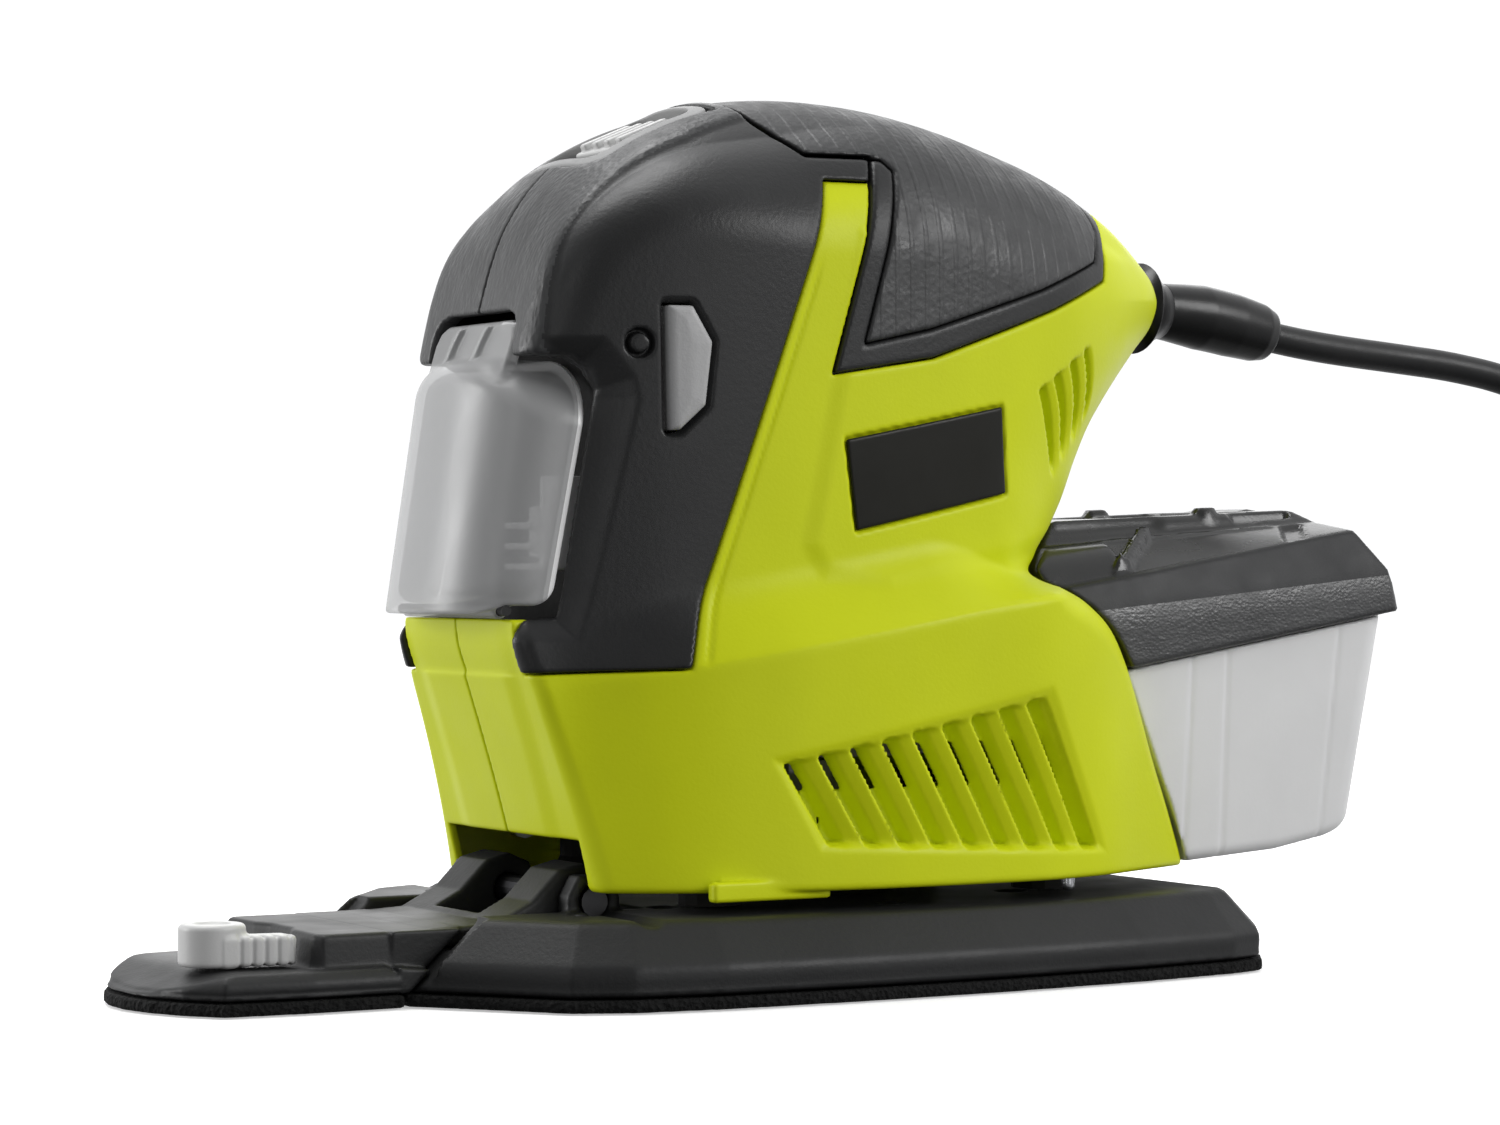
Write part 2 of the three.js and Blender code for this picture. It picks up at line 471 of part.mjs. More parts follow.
// ---------- nose ----------
const NOSE_XY = [[-78.9, -24], [-95, -24.2], [-110.5, -22.8], [-115.6, -16.5], [-119, -9.5], [-120.6, -3.2]];
const noseOutline = mirrored(NOSE_XY);
const noseBase = loft([loopAt(inset(noseOutline, 0.7), 2.5), loopAt(inset(noseOutline, 0.7), 5), loopAt(inset(noseOutline, 3.2), 6.8)]);
const RISER_XY = mirrored([[-78.9, -20.8], [-92.5, -20.8], [-94, -18.5], [-93.5, -8], [-92, -4]]);
const riser = loft([loopAt(RISER_XY, 5), loopAt(RISER_XY, 11.6), loopAt(inset(RISER_XY, 0.8), 12.4)]);
const rearWedge = alongY([[-80, 2.5], [-77.9, 2.5], [-67, 12.4], [-80, 12.4]], -20.6, 20.6);
const rearWedgeLow = alongY([[-80, 2.5], [-77.9, 2.5], [-74, 6], [-80, 6.7]], -23.2, 23.2);
const armXZ = [[-72, 9.4], [-66, 9.3], [-44, 9.6], [-40, 11.4], [-37.6, 16], [-40, 20.6], [-44, 22.3], [-48.5, 21.2], [-53.5, 16.2], [-60, 12.9], [-72, 12.2]];
const arm = alongY(armXZ, -19.4, 19.4);
const armSlot = block(-58, -30, -8.5, 8.5, 5, 30);
const pinHole = bar([PIVOT[0], -30, PIVOT[1]], [PIVOT[0], 30, PIVOT[1]], 2.8, 14);
put("nose_platen", biggest(cut(join(noseBase, riser, rearWedge, rearWedgeLow, arm), armSlot, pinHole)), PLATEN);
put("nose_pad", loft([loopAt(noseOutline, 0), loopAt(noseOutline, 2.2)]), PAD);
put("nose_pivot_pin", bar([PIVOT[0], -23.8, PIVOT[1]], [PIVOT[0], 23.8, PIVOT[1]], 2.5, 14), STEEL);
put("detent_spring", join(bar([-44, 0, 9.3], [-44, 0, 12.6], 3.2, 10), bar([-44, 0, 12.4], [-44, 0, 13.2], 1.6, 8)), STEEL);
// lever that locks the sheet clamp: round hub and ribbed tail
const latchHub = ring(0, 5.6, 7.15, 14.2, 20, -107.3, -9.5);
const latchTail = join(
  alongZ([[-107.3, -15.1], [-96, -16.4], [-94.6, -15.2], [-95.2, -10.6], [-107.3, -8]], 7.15, 12.2),
);
put("nose_latch", cut(join(latchHub, latchTail), alongZ(grow(RISER_XY, 0.35), 3, 20)), PALE);

// ---------- dust box ----------
const LID_TOP = 81.6;
const lidXZ = [[50, 53], [62, 54.4], [122.4, 64.4], [121.8, 71.2], [112, 81], [107.5, 82.2], [66, 75.2], [48, 72.2]];
const boxHalf = 33.5;
const lidOuter = cut(
  alongY(lidXZ, -boxHalf, boxHalf),
  alongX([[-40, 40], [-30.5, 40], [-40, 120]].length ? [[-50, 62], [-50, 100], [-18, 100], [-18, 83.4], [-34, 78.6]] : [], 100, 140),
);
// lid underside is hollow; side walls reach down over the bin
const lidHollow = alongY([[66, 40], [66, 60.5], [62.5, 70], [108, 77.6], [117.6, 69.4], [118.6, 40]], -boxHalf + 2.2, boxHalf - 2.2);
const lid = cut(lidOuter, lidHollow, bar(along(-4), along(26), 7.1, 20), skin(-0.6, LEVELS));
put("dust_box_lid", biggest(lid), BLACK);
const binLoop = (z, d) => {
  const rear = 114.2 + (z - 20) * 0.165 - d,
    front = 78 - (z - 20) * 0.43 + d;
  const hw = 28.6 + (z - 18) * 0.055 - d;
  const c = Math.max(1.5, 6 - d);
  return loopAt([[front, -hw], [rear - c, -hw], [rear, -hw + c], [rear, hw - c], [rear - c, hw], [front, hw]], z);
};
const binTopCut = alongY([[40, 50.4], [126, 64.5], [126, 100], [40, 100]], -50, 50);
const binOuter = loft([binLoop(18.4, 1.6), binLoop(20, 0), binLoop(66, 0)]);
const binInner = loft([binLoop(20.4, 1.8), binLoop(70, 1.8)]);
const binBottomCut = alongY([[70, 10], [70, 17.6], [97, 19.8], [108, 21.8], [130, 28], [130, 10]], -50, 50);
const binBody = cut(binOuter, binInner, binTopCut, binBottomCut, skin(-0.7, LEVELS));
// the lid walls stand outside the bin rim
put("dust_box_bin", biggest(cut(binBody, alongY(grow(lidXZ, 0.3), -60, 60), bar(along(-4), along(26), 7.1, 20))), FROST);
const pleats = [];
for (let i = 0; i < 7; i++) pleats.push(block(79 + i * 4.6, 80.6 + i * 4.6, -22, 22, 50, 58.5));
put("dust_filter", join(block(77, 110.5, -24, 24, 57.5, 61), ...pleats), PAPER);
put("dust_box_latch", alongY([[100.2, 81.4], [106.2, 82.4], [106, 84], [100, 83.2]], -9, 9), BLACK);
put("dust_outlet", cut(bar(along(2), along(19), 6.5, 20), bar(along(-2), along(24), 5.2, 20)), BLACK);

// ---------- body screws along the far side of the joint ----------
[[-30, 30, 26], [58, 30, 24], [38, 23, 80]].forEach(([x, y, z], i) => put("body_screw_" + (i + 1), join(bar([x, y - 12, z], [x, y, z], 1.5, 8), bar([x, y - 0.2, z], [x, y + 2, z], 3, 10)), STEEL));

// ---------- mains lead ----------
const exit = [87.2, 0, 121.6];
put("cord_gland", cut(join(bar([80, 0, 122.0], [87.2, 0, 121.5], 5.6, 20), bar([87.0, 0, 121.55], [90.2, 0, 121.3], 7.2, 20)), bar([78, 0, 122.2], [92, 0, 121.2], 3.4, 16)), BLACK);
const bootPts = [[90.6, 0, 121.3, 5.6], [95, 0, 120.9, 6.1], [101, 0, 120.2, 6.2], [107, 0, 119.2, 5.8], [112, 0, 118.2, 5.2], [116.5, 0, 117.2, 4.2]];
const bootLoops = (extra) => bootPts.map(([x, y, z, r]) => {
  const l = [];
  for (let k = 0; k < 14; k++) {
    const a = (-2 * Math.PI * k) / 14;
    const rr = extra ? extra : r;
    l.push([x + Math.sin(0.13) * rr * Math.sin(a) * -1 * -1, y + rr * Math.cos(a), z + rr * Math.sin(a)]);
  }
  return l.reverse();
});
const bootSolid = (() => { const m = loft(bootLoops(0)); return m; })();
put("cord_boot", bootSolid, BLACK);
const ROUTE = [
  [116.9, 0, 117.1], [126, 0, 115.8], [138, 0, 114.6], [150, 0, 113.6], [163, -0.6, 112.2], [176, -1.6, 109.6], [190, -3.2, 104.2], [203, -5, 95], [213, -7, 82], [219.5, -9, 66], [222.8, -11, 50], [224.4, -14, 34], [225, -18.5, 20.5], [225, -23.6, 11.6], [225, -28.6, 8.2],
];
const routeCurve = new THREE.CatmullRomCurve3(ROUTE.map((p) => new THREE.Vector3(...p)), false, "centripetal");
const sect = new THREE.Shape();
for (let k = 0; k < 10; k++) {
  const a = (2 * Math.PI * k) / 10;
  k ? sect.lineTo((CORD_D / 2) * Math.cos(a), (CORD_D / 2) * Math.sin(a)) : sect.moveTo(CORD_D / 2, 0);
}
sect.closePath();
put("cord", solid(new THREE.ExtrudeGeometry(sect, { steps: 22, extrudePath: routeCurve, bevelEnabled: false })), CORD);
put("cord_coil", turned([[COIL.r - COIL.band, 2], [COIL.r - COIL.band + 2, 0], [COIL.r + COIL.band - 2, 0], [COIL.r + COIL.band, 2], [COIL.r + COIL.band, COIL.h - 2], [COIL.r + COIL.band - 2, COIL.h], [COIL.r - COIL.band + 2, COIL.h], [COIL.r - COIL.band, COIL.h - 2]], 28, COIL.x, COIL.y), CORD);
const plugX = 168,
  plugY = -124;
put("plug_body", alongX([[plugY - 13, 3], [plugY - 9, 0], [plugY + 9, 0], [plugY + 13, 3], [plugY + 13, 13], [plugY + 9, 16], [plugY - 9, 16], [plugY - 13, 13]], plugX, plugX + 34), CORD);
put("plug_pin_a", bar([plugX - 19.3, plugY - 9.5, 8], [plugX - 0.3, plugY - 9.5, 8], 2, 10), STEEL);
put("plug_pin_b", bar([plugX - 19.3, plugY + 9.5, 8], [plugX - 0.3, plugY + 9.5, 8], 2, 10), STEEL);

// the part's origin: middle of the footprint box of the tool itself, on the surface that it stands on
root.position.set(-0.9, 0, 0);
root.updateMatrixWorld(true);
export default root;
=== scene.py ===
import math

import bpy
import numpy as np
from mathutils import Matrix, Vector


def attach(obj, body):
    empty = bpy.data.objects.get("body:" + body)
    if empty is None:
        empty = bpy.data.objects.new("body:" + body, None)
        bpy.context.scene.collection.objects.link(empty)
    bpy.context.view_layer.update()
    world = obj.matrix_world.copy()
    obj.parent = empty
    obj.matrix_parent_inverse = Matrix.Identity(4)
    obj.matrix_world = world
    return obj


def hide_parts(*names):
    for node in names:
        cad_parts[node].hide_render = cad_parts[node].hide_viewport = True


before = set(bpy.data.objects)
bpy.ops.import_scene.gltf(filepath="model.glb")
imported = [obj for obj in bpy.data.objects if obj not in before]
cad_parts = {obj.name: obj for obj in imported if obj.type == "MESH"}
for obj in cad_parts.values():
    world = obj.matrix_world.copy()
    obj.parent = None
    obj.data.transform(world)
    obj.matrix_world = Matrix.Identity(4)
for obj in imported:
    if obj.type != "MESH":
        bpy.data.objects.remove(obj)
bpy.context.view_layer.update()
rng = np.random.default_rng(7)
DX = -0.9  # the row frame's x for the design frame's zero, mm
MM = 0.001

# ------------------------------------------------------------------ camera and lights
s30, c30 = math.sin(math.radians(30)), math.cos(math.radians(30))
cam = bpy.data.objects.new("camera", bpy.data.cameras.new("camera"))
bpy.context.collection.objects.link(cam)
cam.data.sensor_width = 36
cam.data.lens = 3925 * 36 / 1500
cam.location = ((-705 * s30 + DX) * MM, -705 * c30 * MM, 73.3 * MM)
cam.rotation_euler = (math.radians(90), 0, math.radians(-30))
cam.data.clip_start = 0.01
bpy.context.scene.camera = cam


def area(name, loc, target, size, energy, color=(1, 1, 1), size_y=None):
    d = bpy.data.lights.new(name, "AREA")
    d.energy = energy
    d.color = color
    d.size = size
    if size_y:
        d.shape = "RECTANGLE"
        d.size_y = size_y
    o = bpy.data.objects.new(name, d)
    bpy.context.collection.objects.link(o)
    o.location = loc
    o.rotation_euler = (Vector(target) - Vector(loc)).to_track_quat("-Z", "Y").to_euler()
    return o


area("key", (0.78, -1.08, 0.74), (0, 0, 0.06), 0.6, 9.2)
area("top", (-0.1, 0.3, 1.1), (0, 0, 0.1), 0.6, 6)
area("low_fill", (0.05, -1.15, 0.16), (0, 0, 0.04), 0.6, 1.1)
area("front_left", (-0.78, -0.42, 0.22), (-0.05, 0, 0.1), 0.10, 0.5, size_y=0.7)
area("far_left", (-0.93, 0.58, 0.24), (-0.06, 0, 0.08), 0.30, 6.0, size_y=0.6)
area("back_glance", (0.62, 1.0, 0.62), (0.02, 0, 0.14), 0.9, 2.8)
world = bpy.data.worlds.new("studio")
bpy.context.scene.world = world
world.use_nodes = True
wn = world.node_tree
wt = wn.nodes.new("ShaderNodeTexCoord")
def world_dot(direction, lo, hi, a, b):
    d = wn.nodes.new("ShaderNodeVectorMath")
    d.operation = "DOT_PRODUCT"
    d.inputs[1].default_value = direction
    wn.links.new(wt.outputs["Generated"], d.inputs[0])
    m = wn.nodes.new("ShaderNodeMapRange")
    m.interpolation_type = "SMOOTHSTEP"
    for k, q in (("From Min", a), ("From Max", b), ("To Min", lo), ("To Max", hi)):
        m.inputs[k].default_value = q
    wn.links.new(d.outputs["Value"], m.inputs["Value"])
    return m.outputs["Result"]


w_round = world_dot((0.55, 0.835, 0.0), 0.22, 1.05, -0.85, 0.75)
w_below = world_dot((0.0, 0.0, 1.0), 0.35, 1.0, -0.75, -0.12)
wm = wn.nodes.new("ShaderNodeMath")
wm.operation = "MULTIPLY"
wn.links.new(w_round, wm.inputs[0])
wn.links.new(w_below, wm.inputs[1])
wn.nodes["Background"].inputs[0].default_value = (0.985, 0.99, 1.0, 1)
wn.links.new(wm.outputs["Value"], wn.nodes["Background"].inputs[1])
bpy.context.scene.view_settings.view_transform = "Standard"

# ------------------------------------------------------------------ materials


def new_mat(name, color, rough=0.5, metal=0.0):
    m = bpy.data.materials.new(name)
    m.use_nodes = True
    n = m.node_tree
    b = n.nodes["Principled BSDF"]
    b.inputs["Base Color"].default_value = (*color, 1)
    b.inputs["Roughness"].default_value = rough
    b.inputs["Metallic"].default_value = metal
    return m, n, b


def coords(n, scale=(1, 1, 1)):
    t = n.nodes.new("ShaderNodeTexCoord")
    mp = n.nodes.new("ShaderNodeMapping")
    mp.inputs["Scale"].default_value = scale
    n.links.new(t.outputs["Object"], mp.inputs["Vector"])
    return mp.outputs["Vector"]


def noise(n, vec, scale, detail=3, rough=0.55, dist=0.0):
    t = n.nodes.new("ShaderNodeTexNoise")
    t.inputs["Scale"].default_value = scale
    t.inputs["Detail"].default_value = detail
    t.inputs["Roughness"].default_value = rough
    t.inputs["Distortion"].default_value = dist
    n.links.new(vec, t.inputs["Vector"])
    return t.outputs["Fac"]


def remap(n, fac, lo, hi, a=0.3, b=0.7):
    r = n.nodes.new("ShaderNodeMapRange")
    r.inputs["From Min"].default_value = a
    r.inputs["From Max"].default_value = b
    r.inputs["To Min"].default_value = lo
    r.inputs["To Max"].default_value = hi
    n.links.new(fac, r.inputs["Value"])
    return r.outputs["Result"]


def bump(n, b, height, dist, strength=1.0, prev=None):
    k = n.nodes.new("ShaderNodeBump")
    k.inputs["Distance"].default_value = dist
    k.inputs["Strength"].default_value = strength
    n.links.new(height, k.inputs["Height"])
    if prev is not None:
        n.links.new(prev, k.inputs["Normal"])
    n.links.new(k.outputs["Normal"], b.inputs["Normal"])
    return k.outputs["Normal"]


def vary(n, b, vec, color, amount=0.12, scale=60):
    f = noise(n, vec, scale, 4)
    mix = n.nodes.new("ShaderNodeMix")
    mix.data_type = "RGBA"
    mix.inputs["A"].default_value = (*[c * (1 - amount) for c in color], 1)
    mix.inputs["B"].default_value = (*[min(1, c * (1 + amount)) for c in color], 1)
    n.links.new(remap(n, f, 0, 1), mix.inputs["Factor"])
    n.links.new(mix.outputs["Result"], b.inputs["Base Color"])


def moulded(name, color, rough=0.45, grain=1800, depth=0.00004, amount=0.05, spread=0.08, metal=0.0, coat=0.0, spec=0.5):
    """Injection-moulded plastic with a spark-eroded grain and slightly uneven gloss."""
    m, n, b = new_mat(name, color, rough, metal)
    v = coords(n)
    vary(n, b, v, color, amount, 35)
    g = noise(n, v, grain, 2, 0.6)
    bump(n, b, g, depth)
    n.links.new(remap(n, noise(n, v, 90, 5), rough - spread, rough + spread), b.inputs["Roughness"])
    b.inputs["Specular IOR Level"].default_value = spec
    if coat:
        b.inputs["Coat Weight"].default_value = coat
    return m


def leather(name, color, rough=0.5, scale=1000, depth=0.0001, stretch=(1, 1, 1), amount=0.15, spec=0.5):
    """Soft grip and grained plastic: cells with fine creases between them."""
    m, n, b = new_mat(name, color, rough)
    v = coords(n, stretch)
    vary(n, b, v, color, amount, 120)
    w = n.nodes.new("ShaderNodeTexVoronoi")
    w.feature = "SMOOTH_F1"
    w.inputs["Scale"].default_value = scale
    w.inputs["Smoothness"].default_value = 0.5
    n.links.new(v, w.inputs["Vector"])
    first = bump(n, b, w.outputs["Distance"], depth)
    bump(n, b, noise(n, v, scale * 0.45, 4, 0.6, 0.4), depth * 1.6, prev=first)
    n.links.new(remap(n, noise(n, v, 200, 4), rough - 0.1, rough + 0.1), b.inputs["Roughness"])
    b.inputs["Specular IOR Level"].default_value = spec
    return m


LIME = moulded("lime_shell", (0.66, 0.74, 0.006), 0.42, 1500, 0.00003, 0.035, 0.05, spec=0.22)
BLACK = moulded("black_cover", (0.018, 0.0183, 0.0188), 0.4, 1100, 0.00005, 0.1, 0.06, spec=0.38)
BAND = leather("grained_band", (0.036, 0.0368, 0.0378), 0.42, 900, 0.0001, (1.0, 1.3, 0.6), spec=0.46)
SOFT = leather("soft_grip", (0.017, 0.0175, 0.0184), 0.48, 900, 0.00006, spec=0.68)
GREY = moulded("grey_plastic", (0.44, 0.44, 0.442), 0.5, 1300, 0.00005, 0.06)
PALE = moulded("pale_plastic", (0.56, 0.56, 0.555), 0.4, 1500, 0.00003, 0.03)
PLATEN = moulded("platen_plastic", (0.0135, 0.0139, 0.0143), 0.48, 1200, 0.00005, 0.12, 0.06, spec=0.36)
LIDM = leather("lid_plastic", (0.043, 0.0435, 0.045), 0.40, 1700, 0.00006, (0.8, 1.1, 1.1), spec=0.75)
# smooth band on the lid's side bevel: its own smooth finish, darker than the grained lid as painted shade against the
# light falling on the bevel
LID_SMOOTH_SHADE = moulded("lid_smooth_painted_shade", (0.030, 0.0305, 0.032), 0.5, 1500, 0.00004, 0.08, 0.06, spec=0.28)
LIDG = moulded("lid_gloss", (0.018, 0.0182, 0.0188), 0.26, 1500, 0.00002, 0.08, 0.05, spec=0.6)
BADGE_MAT = moulded("badge_plate", (0.012, 0.0117, 0.009), 0.34, 900, 0.00001, 0.05, 0.04, spec=0.2)
STEEL = moulded("steel", (0.58, 0.59, 0.61), 0.3, 700, 0.00002, 0.08, 0.08, metal=1.0)
LAM = moulded("laminations", (0.33, 0.34, 0.36), 0.42, 500, 0.00004, 0.15, 0.1, metal=1.0)
DARKSTEEL = moulded("dark_steel", (0.09, 0.09, 0.095), 0.4, 700, 0.00002, 0.08, 0.08, metal=1.0)
COPPER = moulded("copper", (0.72, 0.36, 0.2), 0.35, 900, 0.00002, 0.12, 0.08, metal=1.0)
FILM = moulded("capacitor_film", (0.6, 0.44, 0.08), 0.3, 500, 0.00003, 0.06)
RUBBER = moulded("cord_rubber", (0.010, 0.010, 0.0105), 0.42, 900, 0.00004, 0.12, 0.08, spec=0.4)
PLUGM = moulded("plug_plastic", (0.018, 0.018, 0.019), 0.42, 1200, 0.00006, 0.1, 0.06)
DARK = moulded("inner_black", (0.012, 0.012, 0.012), 0.7, 600, 0.00005, 0.1)


def ribbed(m, pitch, depth):
    """Fine raised lines across a material, added under its own grain."""
    n = m.node_tree
    b = n.nodes["Principled BSDF"]
    last = b.inputs["Normal"].links[0].from_node
    v = coords(n, (1, 0.25, 0.16))
    w = n.nodes.new("ShaderNodeTexWave")
    w.bands_direction = "X"
    w.inputs["Scale"].default_value = 0.314 / pitch
    w.inputs["Distortion"].default_value = 0.35
    w.inputs["Detail"].default_value = 1
    n.links.new(v, w.inputs["Vector"])
    bump(n, b, remap(n, w.outputs["Fac"], 0, 1, 0.72, 1.0), depth, prev=last.outputs["Normal"])


ribbed(SOFT, 0.0031, 0.00007)


def hook_pile():
    m, n, b = new_mat("hook_pad", (0.012, 0.012, 0.012), 0.85)
    v = coords(n)
    vary(n, b, v, (0.008, 0.008, 0.008), 0.5, 900)
    w = n.nodes.new("ShaderNodeTexVoronoi")
    w.inputs["Scale"].default_value = 1100
    n.links.new(v, w.inputs["Vector"])
    first = bump(n, b, w.outputs["Distance"], 0.0006)
    bump(n, b, noise(n, v, 2600, 3), 0.0003, prev=first)
    b.inputs["Specular IOR Level"].default_value = 0.2
    return m


def frosted(name, color, rough, alpha, grain=900, spec=0.6):
    """Frosted polypropylene: shapes behind it show through as shade."""
    m, n, b = new_mat(name, color, rough)
    v = coords(n)
    vary(n, b, v, color, 0.03, 45)
    b.inputs["Specular IOR Level"].default_value = spec
    bump(n, b, noise(n, v, grain, 2), 0.00002)
    n.links.new(remap(n, noise(n, v, 70, 4), rough - 0.03, rough + 0.04), b.inputs["Roughness"])
    b.inputs["Alpha"].default_value = alpha
    return m


PAD = hook_pile()
GRIPF = BLACK
# grey plastic of the switch surround, darker than the button's grey to hold back the top light on it: painted shade on
# the real grey
GREY_SHADE = moulded("surround_plastic_painted_shade", (0.30, 0.30, 0.30), 0.5, 1300, 0.00004, 0.05, spec=0.25)
BOOTM = moulded("boot_rubber", (0.005, 0.005, 0.0053), 0.32, 900, 0.00002, 0.1, 0.05, spec=0.42)
FROST = frosted("frosted_cover", (0.50, 0.503, 0.505), 0.36, 0.52, 900, 1.0)
# lighter, near-opaque copy of the frosted plastic: a painted highlight on the clear cover's rear edge band, and painted
# light on the rack
FROST_HIGHLIGHT = frosted("frosted_painted_highlight", (0.93, 0.93, 0.93), 0.3, 0.96, 900, 0.8)
BIN = frosted("frosted_bin", (0.90, 0.90, 0.90), 0.36, 0.93)


def paper():
    m, n, b = new_mat("filter_paper", (0.78, 0.74, 0.62), 0.95)
    v = coords(n)
    vary(n, b, v, (0.78, 0.74, 0.62), 0.1, 500)
    bump(n, b, noise(n, v, 1500, 4), 0.0001)
    return m


PAPER = paper()

floor_mat, fn, fb = new_mat("floor", (0.93, 0.93, 0.93), 0.6)
fv = coords(fn)
bump(fn, fb, noise(fn, fv, 300, 2), 0.00002)
bpy.ops.mesh.primitive_plane_add(size=8, location=(0, 0, -0.0002))
floor = bpy.context.object
floor.name = "floor"
floor.data.materials.append(floor_mat)
floor.visible_diffuse = False
floor.visible_glossy = False
fb.inputs["Emission Color"].default_value = (1, 1, 1, 1)
fb.inputs["Emission Strength"].default_value = 0.45


def use(node, material):
    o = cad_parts[node]
    o.data.materials.clear()
    o.data.materials.append(material)


def cat(points, per):
    """Points on a smooth curve through the given ones."""
    p = np.array(points, float)
    q = np.vstack([2 * p[0] - p[1], p, 2 * p[-1] - p[-2]])
    out = []
    for i in range(1, len(q) - 2):
        p0, p1, p2, p3 = q[i - 1 : i + 3]
        t0 = 0
        t1 = t0 + np.linalg.norm(p1 - p0) ** 0.5
        t2 = t1 + np.linalg.norm(p2 - p1) ** 0.5
        t3 = t2 + np.linalg.norm(p3 - p2) ** 0.5
        for t in np.linspace(t1, t2, per, endpoint=False):
            a1 = (t1 - t) / (t1 - t0) * p0 + (t - t0) / (t1 - t0) * p1
            a2 = (t2 - t) / (t2 - t1) * p1 + (t - t1) / (t2 - t1) * p2
            a3 = (t3 - t) / (t3 - t2) * p2 + (t - t2) / (t3 - t2) * p3
            b1 = (t2 - t) / (t2 - t0) * a1 + (t - t0) / (t2 - t0) * a2
            b2 = (t3 - t) / (t3 - t1) * a2 + (t - t1) / (t3 - t1) * a3
            out.append((t2 - t) / (t2 - t1) * b1 + (t - t1) / (t2 - t1) * b2)
    out.append(p[-1])
    return np.array(out)


# ------------------------------------------------------------------ mains lead
CORD_D = 0.006
ROUTE = [
    [116.9, 0, 117.1], [126, 0, 115.8], [138, 0, 114.6], [150, 0, 113.6], [163, -0.6, 112.2], [176, -1.6, 109.6], [190, -3.2, 104.2],
    [203, -5, 95], [213, -7, 82], [219.5, -9, 66], [222.8, -11, 50], [224.3, -14, 35], [224.8, -18.6, 22.6], [225.2, -26, 12.4], [227.2, -36.2, 6.2], [229.8, -43.4, 4.0],
]
CX, CY = 192.0, -63.0


def step(u):
    u = np.clip(u, 0, 1)
    return u * u * (3 - 2 * u)


def lead_line():
    """Centreline of the lead in design mm: free run, eight close turns laid on each other, and the tail to the plug."""
    s = np.linspace(0, 7.944, int(7.944 * 24))
    col = 3 - sum(step((s - a) / 0.45) for a in (0.55, 1.55, 2.55)) + step((s - 3.8) / 0.45) + step((s - 4.8) / 0.45) - step((s - 6.05) / 0.45) - step((s - 7.05) / 0.45)
    row = step((s - 3.25) / 0.3) + step((s - 5.5) / 0.3)
    rad = 33 + (col - 1.5) * 6.05
    z = 3.05 + row * 6.06 + 6.0 * step((s - 7.66) / 0.3)
    ang = math.radians(20) - 2 * math.pi * s
    coil = np.stack([CX + rad * np.cos(ang), CY + rad * np.sin(ang), z], 1)
    a = math.radians(40)
    start, go = coil[-1], np.array([math.sin(a), -math.cos(a), 0])
    tail = [start + go * 9, start + go * 18, start + go * 28, start + go * 37]
    side = np.array([-math.cos(a), -math.sin(a), 0])  # towards the middle of the bend
    mid = tail[-1] + side * 25
    for t in np.linspace(0, 100, 7)[1:]:
        th = math.radians(40 - t)
        tail.append(mid + np.array([25 * math.cos(th), 25 * math.sin(th), 0]))
    tail = np.array(tail + [np.array([216.5, -119.6, 0]), np.array([210.0, -122.6, 0]), np.array([203.0, -124.0, 0])])
    far = np.r_[0, np.cumsum(np.linalg.norm(np.diff(tail, axis=0), axis=1))]
    tail[:, 2] = coil[-1, 2] - (coil[-1, 2] - 8.0) * step((far - 17) / 74)
    end = tail[-1:]
    tail = tail[:-1]
    return np.array(ROUTE), coil, tail, end


def cord_points():
    free, coil, tail, end = lead_line()
    dense = cat(free, 12)
    dist = np.r_[0, np.cumsum(np.linalg.norm(np.diff(dense, axis=0), axis=1))]
    even = np.stack([np.interp(np.linspace(0, dist[-1], 30), dist, dense[:, k]) for k in range(3)], 1)
    return np.vstack([even, coil[1:], tail, end])


line = cord_points()
for _ in range(2):  # ease the bend where the run meets the floor
    line[20:36] = 0.25 * line[19:35] + 0.5 * line[20:36] + 0.25 * line[21:37]
line_m = (line + [DX, 0, 0]) * MM


def curve_of(name, pts, d, material, body, caps=True):
    c = bpy.data.curves.new(name, "CURVE")
    c.dimensions = "3D"
    c.bevel_depth = d / 2
    c.bevel_resolution = 6
    c.resolution_u = 4
    c.use_fill_caps = caps
    sp = c.splines.new("BEZIER")
    sp.bezier_points.add(len(pts) - 1)
    sp.bezier_points.foreach_set("co", pts.astype(np.float32).ravel())
    for p in sp.bezier_points:
        p.handle_left_type = p.handle_right_type = "AUTO"
    o = bpy.data.objects.new(name, c)
    bpy.context.collection.objects.link(o)
    c.materials.append(material)
    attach(o, body)
    return o


lead = curve_of("mains_lead", line_m, CORD_D, RUBBER, "housing")
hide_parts("cord", "cord_coil")

# ------------------------------------------------------------------ solid modelling on a grid
H = 0.5


def rmax(a, b, r):
    """Both, with an edge of radius r where they meet."""
    return np.minimum(-r, np.maximum(a, b)) + np.hypot(np.maximum(a + r, 0), np.maximum(b + r, 0))


def rmin(a, b, r):
    return -rmax(-a, -b, r)


